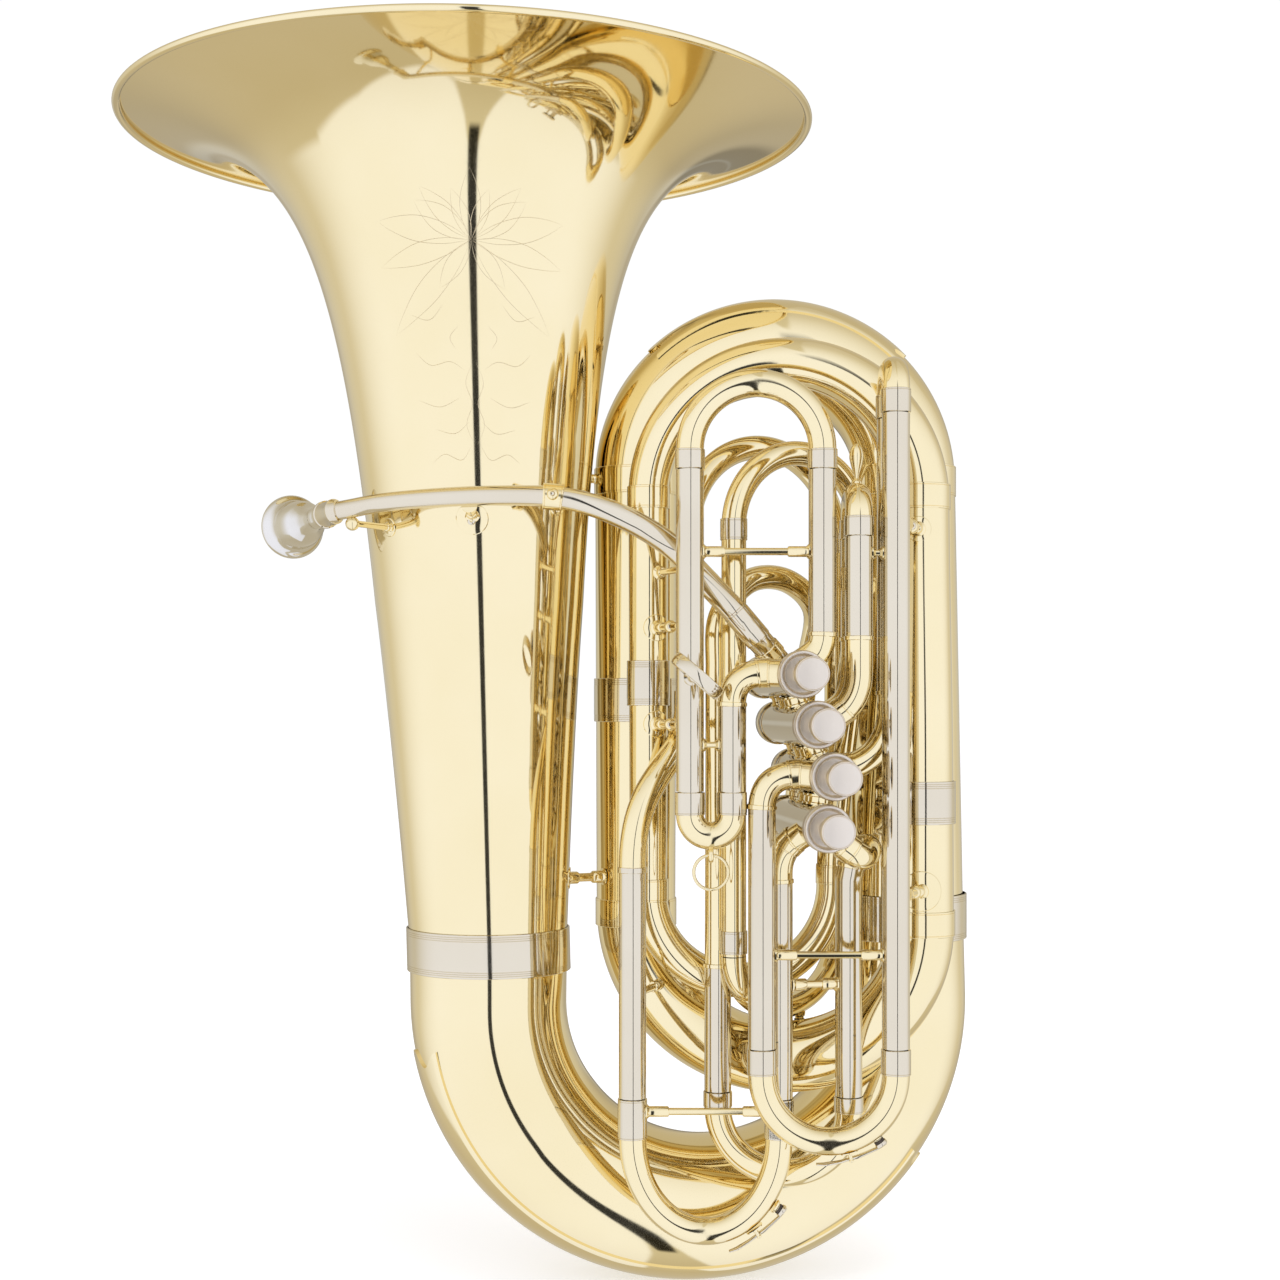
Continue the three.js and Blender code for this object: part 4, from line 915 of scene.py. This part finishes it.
BELL_SIDE = (lambda z: (bell_axis_x(z), 0.0)), bell_radius
LEFT_BRANCH, RIGHT_BRANCH = upright(LEFT_FRONT, 14.2), upright(RIGHT_HIGH, 21.2)
RIGHT_FOOT = upright(RIGHT_LOW, 22.6)


def foot(tube_side, turn, z, size):
    """A thin round foot wrapped onto an upright tube."""
    axis, radius = tube_side
    rings, round_foot = [], circle(40)
    for reach, lift in [(0, -0.6), (size, -0.6), (size, 0.5), (size - 0.5, 0.9), (size - 3, 1.0), (0, 1.1)]:
        height = z + reach * np.cos(round_foot)
        wrap = math.radians(turn) + reach * np.sin(round_foot) / radius(z)
        (x, y), out = axis(height), radius(height) + lift
        rings.append(np.stack([x + out * np.cos(wrap), y + out * np.sin(wrap), height], -1))
    return stitch(np.array(rings), loop=False)


def surface(tube_side, turn, z):
    (x, y), radius = tube_side[0](z), tube_side[1](z)
    return at(x + radius * math.cos(math.radians(turn)), y + radius * math.sin(math.radians(turn)), z)


def screw(place, direction, size=2.6):
    head = [(0, -1.5), (size, -1.5), (size, 0.6), (size - 0.5, 1.2), (1.2, 1.5), (1.0, 0.7), (0, 0.6)]
    return turned(place, direction, head, 28)


def ball(centre, radius):
    arc = np.linspace(-math.pi / 2, math.pi / 2, 13)
    return turned(centre, UP, [(radius * math.cos(a), radius * math.sin(a)) for a in arc], 28)


def lead_at(x):
    return lead.frame([np.interp(x, lead.points[:, 0], lead.run)])[0][0]


bell_front, bell_left, bell_right = (
    surface(BELL_SIDE, *place) for place in ((-88, 546), (224, 542), (-42, 558)))
fixed("leadpipe_stays", BRASS, [],
      foot(BELL_SIDE, -88, 546, 11.2), foot(BELL_SIDE, 224, 542, 6.5), foot(BELL_SIDE, -42, 558, 7.5),
      brace(bell_front - at(0, -0.5, -2.5), lead_at(-116) + at(0, 0, -6), 3.0, 5.0, 4.0),
      brace(bell_left, at(-196, -96, 541.5), 2.2, 5.0, 3.0), ball(at(-196, -96, 541.2), 4.8),
      brace(bell_right, lead_at(-59) + at(0, 6, 0), 2.6, 8.0, 3.6),
      collar(lead, float(np.interp(-66, lead.points[:, 0], lead.run)), 8.3, band(13.5, 0.8, (1.3, 12.2)), 44),
      ball(lead_at(-59) + at(0, -7.6, 1.0), 4.3))
fixed("leadpipe_stay_screws", NICKEL, [],
      screw(bell_front + at(-0.4, -0.9, -1.5), -REAR, 3.0),
      screw(lead_at(-59) + at(0, -11.4, 1.0), -REAR, 1.8))

stay_pieces, screw_pieces = [], []
for height in (472, 404):
    start, stop = surface(LEFT_BRANCH, -66, height), at(*FIRST_LEFT, height)
    stop = stop + unit(start - stop) * (SLEEVE - 0.9)
    stay_pieces += [foot(LEFT_BRANCH, -66, height, 9.5),
                    brace(start, stop, 2.8, 10.0, 3.7), ball((start + stop) / 2, 4.6)]
    screw_pieces.append(screw((start + stop) / 2 - REAR * 4.2, -REAR, 2.2))
start, stop = surface(LEFT_BRANCH, -58, 511), at(*FIRST_LEFT, 511)
stay_pieces += [brace(start, stop + unit(start - stop) * (SLEEVE - 0.9), 2.4, 6.0, 3.4)]
start, stop = surface(RIGHT_BRANCH, -100, 541), at(*THIRD_RIGHT, 541) + at(7.2, 5.2, 0)
stay_pieces += [foot(RIGHT_BRANCH, -100, 541, 9.0),
                brace(start, stop, 2.8, 8.0, 3.8), ball(at(187.5, -76, 541), 5.2)]
screw_pieces.append(screw(at(187.5, -80.8, 541), at(0.1, -1, 0), 2.8))
start, stop = surface(RIGHT_FOOT, -98, 288), at(*THIRD_RIGHT, 288) + at(7.0, 5.4, 0)
stay_pieces += [foot(RIGHT_FOOT, -98, 288, 14.0),
                brace(start, stop, 2.8, 7.0, 3.8), ball(at(189.5, -77, 288), 4.8)]
screw_pieces.append(screw(at(184.5, -83, 288), at(-0.2, -1, 0), 2.2))
stay_pieces += [brace(at(13, -1.5, 213), at(-3.5, MAIN_Y + 8.6, 216), 2.8, 14.0, 4.0)]
fixed("tube_stays", BRASS, [], *stay_pieces)
fixed("tube_stay_screws", NICKEL, [], *screw_pieces)
fixed("bell_stay", BRASS, ["bell_brace"],
      foot(BELL_SIDE, 0.5, 291, 8.0),
      level_brace((-53.4, 0.5), (-27.5, 12.5), 291, 0, rod=3.2, socket=9.5, boss=4.6))
fixed("upper_bell_stay", BRASS, [], brace(at(-39, 20.4, 585), at(-31, 22.6, 585), 3.4, 2.4, 4.0))
fixed("inner_bow_key_pad", BRASS, [],
      turned(at(117, 8, 190.2), DOWN, [(0, -2), (4.6, -2), (4.2, 0.6), (3.3, 1.4), (3.2, 2.6), (0, 2.6)], 32))
fixed("inner_bow_key_cork", NICKEL, [],
      turned(at(117, 8, 187.4), DOWN, [(0, 0), (3.6, 0), (3.8, 0.4), (3.8, 2.4), (3.5, 2.8), (0, 2.8)], 32),
      finish="cork")
lever = [at(118, 8, 182.6), at(107, 3, 181), at(94, -2, 182.5), at(84, -6, 184)]
fixed("inner_bow_key_lever", NICKEL, [],
      turned(at(117, 8, 184.6), DOWN,
             [(0, -0.4), (4.2, -0.4), (4.5, 0.3), (4.5, 2.2), (3.8, 2.9), (0, 3)], 36),
      strip(lever, [2.0, 2.4, 2.2, 3.6], [0.9, 1.0, 0.9, 0.7], at(0.3, 0.9, 0)),
      turned(at(99, 0, 182.6), UP, [(0, 0), (1.6, 0), (1.3, 1.2), (1.2, 9), (0, 9)], 20))

# --- ornament cut into the bell


def ornament_line(points, depth=0.2):
    """A fine line on the bell's front, through (across, z) points in millimetres."""
    smooth_points = spline(*[at(a, 0, z) for a, z in points], count=9)
    z = smooth_points[:, 2]
    radius = bell_radius(z) - 0.05
    wrap = math.radians(-85.1) + smooth_points[:, 0] / radius
    route = Route(np.stack([bell_axis_x(z) + radius * np.cos(wrap), radius * np.sin(wrap), z], -1))
    s = route.stations()
    return stitch(route.rings(s, depth * (0.25 + 0.75 * np.sin(math.pi * s / route.length)), 6), loop=False)


def petal(angle, length, width):
    """Both edges of a petal that grows from the flower's heart."""
    angle = math.radians(angle)
    way, aside = np.array([[math.sin(angle), math.cos(angle)], [math.cos(angle), -math.sin(angle)]])
    shares = [(0.0, 0.0), (0.25, 0.75), (0.55, 1.0), (0.82, 0.55), (1.0, 0.0)]
    return [ornament_line([FLOWER_HEART + way * length * a + aside * width * b * hand for a, b in shares])
            for hand in (-1, 1)]


FLOWER_HEART = np.array([0.0, 731.0])
PETALS = [(0, 44, 7), (22, 34, 5), (46, 48, 6), (57, 46, 8), (78, 68, 8), (103, 67, 7), (137, 82, 8),
          (144, 38, 6)]
SCROLLS = [
    [(6, 646), (16, 652), (30, 650), (41, 659)], [(10, 628), (24, 622), (40, 627)],
    [(4, 612), (14, 604), (28, 607)], [(3, 596), (10, 586), (22, 590), (31, 584)],
    [(1, 652), (6, 638), (2, 624), (6, 610), (1, 596)], [(20, 690), (30, 680), (44, 684)],
    [(10, 676), (16, 668), (12, 660)],
]
flower = []
for angle, length, width in PETALS:
    for hand in (-1, 1) if angle else (1,):
        flower += petal(angle * hand, length, width)
for hand in (-1, 1):
    flower += [ornament_line([(hand * a, z) for a, z in curve]) for curve in SCROLLS]
fixed("bell_engraving", BRASS, [], *flower, finish="engraved")

# --- water keys


def water_key(name, body, slide, node, centre, reach, turn_pad, turn_tip):
    """A sprung lever on the outside of a bend, its cork pad over a short nipple."""
    def arc(turn, radius):
        angle = math.radians(turn)
        return centre + at(math.cos(angle), 0, math.sin(angle)) * radius

    out = unit(arc(turn_pad, 1) - centre)
    seat = arc(turn_pad, reach)
    middle = (turn_pad + turn_tip) / 2
    piece(f"{name}_nipple", slide, BRASS, [],
          turned(seat - out * 2, out, [(0, 0), (5.0, 0), (4.6, 1.4), (3.3, 2.1), (3.2, 2.5), (0, 2.5)], 32))
    piece(f"{name}_cork", body, NICKEL, [],
          turned(seat + out * 0.6, out, [(0, 0), (3.5, 0), (3.6, 0.3), (3.6, 1.7), (3.4, 2.0), (0, 2.0)], 32),
          finish="cork")
    lever = [arc(turn_pad + 3, reach + 5.4), arc(turn_pad - 4, reach + 5.0), arc(middle + 5, reach + 4.2),
             arc(middle, reach + 4.0), arc(middle - 7, reach + 4.8), arc(turn_tip + 5, reach + 6.2),
             arc(turn_tip, reach + 6.6)]
    piece(f"{name}_lever", body, NICKEL, [node],
          turned(seat + out * 2.6, out, [(0, 0), (4.2, 0), (4.4, 0.5), (4.4, 2.2), (3.8, 2.8), (0, 3)], 36),
          strip(lever, [2.0, 2.1, 2.4, 2.6, 2.2, 3.2, 4.0, 2.6], [1.0, 0.9, 1.0, 1.2, 0.9, 0.8, 0.8, 0.6],
                REAR),
          turned(arc(middle, reach + 4.6) - REAR * 3.4, REAR, [(0, 0), (1.5, 0), (1.5, 6.8), (0, 6.8)], 20))
    post_foot = unit(arc(middle, 1) - centre)
    posts = [turned(arc(middle, reach - 0.4) + REAR * shift, post_foot,
                    [(0, 0), (1.6, 0), (1.3, 1.0), (1.1, 4.0), (1.5, 4.6), (1.5, 5.6), (0, 5.9)], 16)
             for shift in (-4.9, 4.9)]
    saddle = turned(arc(middle, reach - 1.2), post_foot, [(0, 0), (6.6, 0), (6.4, 0.8), (0, 1.4)], 32)
    piece(f"{name}_posts", slide, BRASS, [], *posts, saddle)


water_key("main_key", "main_key", "main_slide", "main_water_key", at(45.55, MAIN_Y, 104), 60.3, -35, -76)
water_key("third_key", "third_key", "third_lower_slide", "third_water_key", at(128.6, FRONT_Y, 166.2),
          55.1, -53, -98)

# --- floor, light and camera

WHITE = (1, 1, 1, 1)
FRAME_PIXELS, FOCAL_PIXELS, HORIZON_DROP = 1280, 1972, 60
SENSOR = 36.0
CAMERA_AWAY, CAMERA_HEIGHT = 1.44, 0.421
camera_data = bpy.data.cameras.new("camera")
camera = add("camera", camera_data)
scene.camera = camera
camera_data.sensor_width = SENSOR
camera_data.lens = FOCAL_PIXELS / FRAME_PIXELS * SENSOR
camera_data.shift_y = HORIZON_DROP / FRAME_PIXELS
camera.location = (ORIGIN[0], -CAMERA_AWAY, CAMERA_HEIGHT + ORIGIN[2])
camera.rotation_euler = (math.radians(90), 0, 0)
camera_data.clip_end = 200

floor_mesh = bpy.data.meshes.new("floor")
floor_mesh.from_pydata([(-40, -40, 0), (40, -40, 0), (40, 40, 0), (-40, 40, 0)], [], [(0, 1, 2, 3)])
floor = add("floor", floor_mesh)
floor.visible_glossy = False
floor_mesh.materials.append(material_with(
    Graph(bpy.data.materials.new("floor")), Base_Color=(0.9, 0.9, 0.9, 1), Roughness=0.8,
    Emission_Color=WHITE, Emission_Strength=0.40))

world = bpy.data.worlds.new("studio")
scene.world = world
sky = Graph(world)


def minus(a, b):
    return sky.maths("SUBTRACT", a, b)


def times(a, b):
    return sky.maths("MULTIPLY", a, b)


# Each direction is named by the slope of the mirror that would show it to the camera. `side` is how far
# such a mirror turns aside from the slot between two panels, `lift` how far it leans back, and `tilt` is
# how far it leans either way.
SLOT_SIDE = 0.05
PANEL_COLOUR = (1.07, 1.14, 1.42, 1)
SURROUND, SURROUND_ABOVE = (0.74, 0.715, 0.65, 1), (0.60, 0.55, 0.45, 1)
PANEL_TOP = [(0.0, 0.16), (0.05, 0.40), (0.13, 0.64), (0.26, 0.79), (0.40, 0.72), (0.56, 0.58), (0.94, 0.40)]

split = sky.nodes.new("ShaderNodeSeparateXYZ")
sky.feed(split, {0: sky.place("Generated")})
facing = sky.maths("MAXIMUM", minus(1.0, split.outputs["Y"]), 0.001)
side = sky.maths("ABSOLUTE", minus(sky.maths("DIVIDE", split.outputs["X"], facing), SLOT_SIDE))
lift = sky.maths("DIVIDE", split.outputs["Z"], facing)
tilt = sky.maths("ABSOLUTE", lift)

dome = sky.nodes.new("ShaderNodeValToRGB")
dome.color_ramp.interpolation = "B_SPLINE"
dome.color_ramp.elements.remove(dome.color_ramp.elements[1])
for place, half_tilt in PANEL_TOP:
    stop = dome.color_ramp.elements.new(place) if place else dome.color_ramp.elements[0]
    stop.position = place
    stop.color = (half_tilt, half_tilt, half_tilt, 1)
sky.feed(dome, {"Fac": side})
beyond = minus(tilt, times(dome.outputs["Color"], 2.0))
panel = times(sky.smooth(beyond, 0.05, -0.09), sky.smooth(side, 1.9, 0.72))
for value, low, high, share in [(tilt, 0.4, 1.5, 0.24), (lift, 0.12, 0.95, 0.85)]:
    panel = times(panel, minus(1.0, times(sky.smooth(value, low, high), share)))
slot = times(sky.smooth(side, 0.030, 0.019), sky.smooth(tilt, 0.75, 0.66))
slot = times(slot, sky.smooth(lift, 0.34, 0.06))
behind = sky.maths("ADD", times(sky.smooth(side, 6.0, 9.0), 0.35), times(sky.smooth(side, 1.6, 4.0), 0.2))
surround = sky.mix(sky.smooth(tilt, 0.3, 1.5), SURROUND, SURROUND_ABOVE)

background = sky.nodes["Background"]
sky.feed(background, {"Color": sky.mix(panel, surround, PANEL_COLOUR),
                      "Strength": minus(1.0, sky.maths("ADD", times(slot, 0.96), behind))})
backdrop = sky.node("Background", 0, {"Color": WHITE, "Strength": 1.02})
camera_ray = sky.node("LightPath", "Is Camera Ray", {})
seen = sky.node("MixShader", 0, {"Fac": camera_ray, 1: background.outputs[0], 2: backdrop})
sky.feed(sky.nodes["World Output"], {"Surface": seen})

key_data = bpy.data.lights.new("overhead", "AREA")
key_data.shape = "DISK"
key_data.size = 1.6
key_data.energy = 14
key = add("overhead", key_data)
key.location = Vector((0.4, -0.6, 2.4))
key.rotation_euler = key.location.to_track_quat("Z", "Y").to_euler()
key.visible_glossy = False

scene.view_settings.view_transform = "Standard"
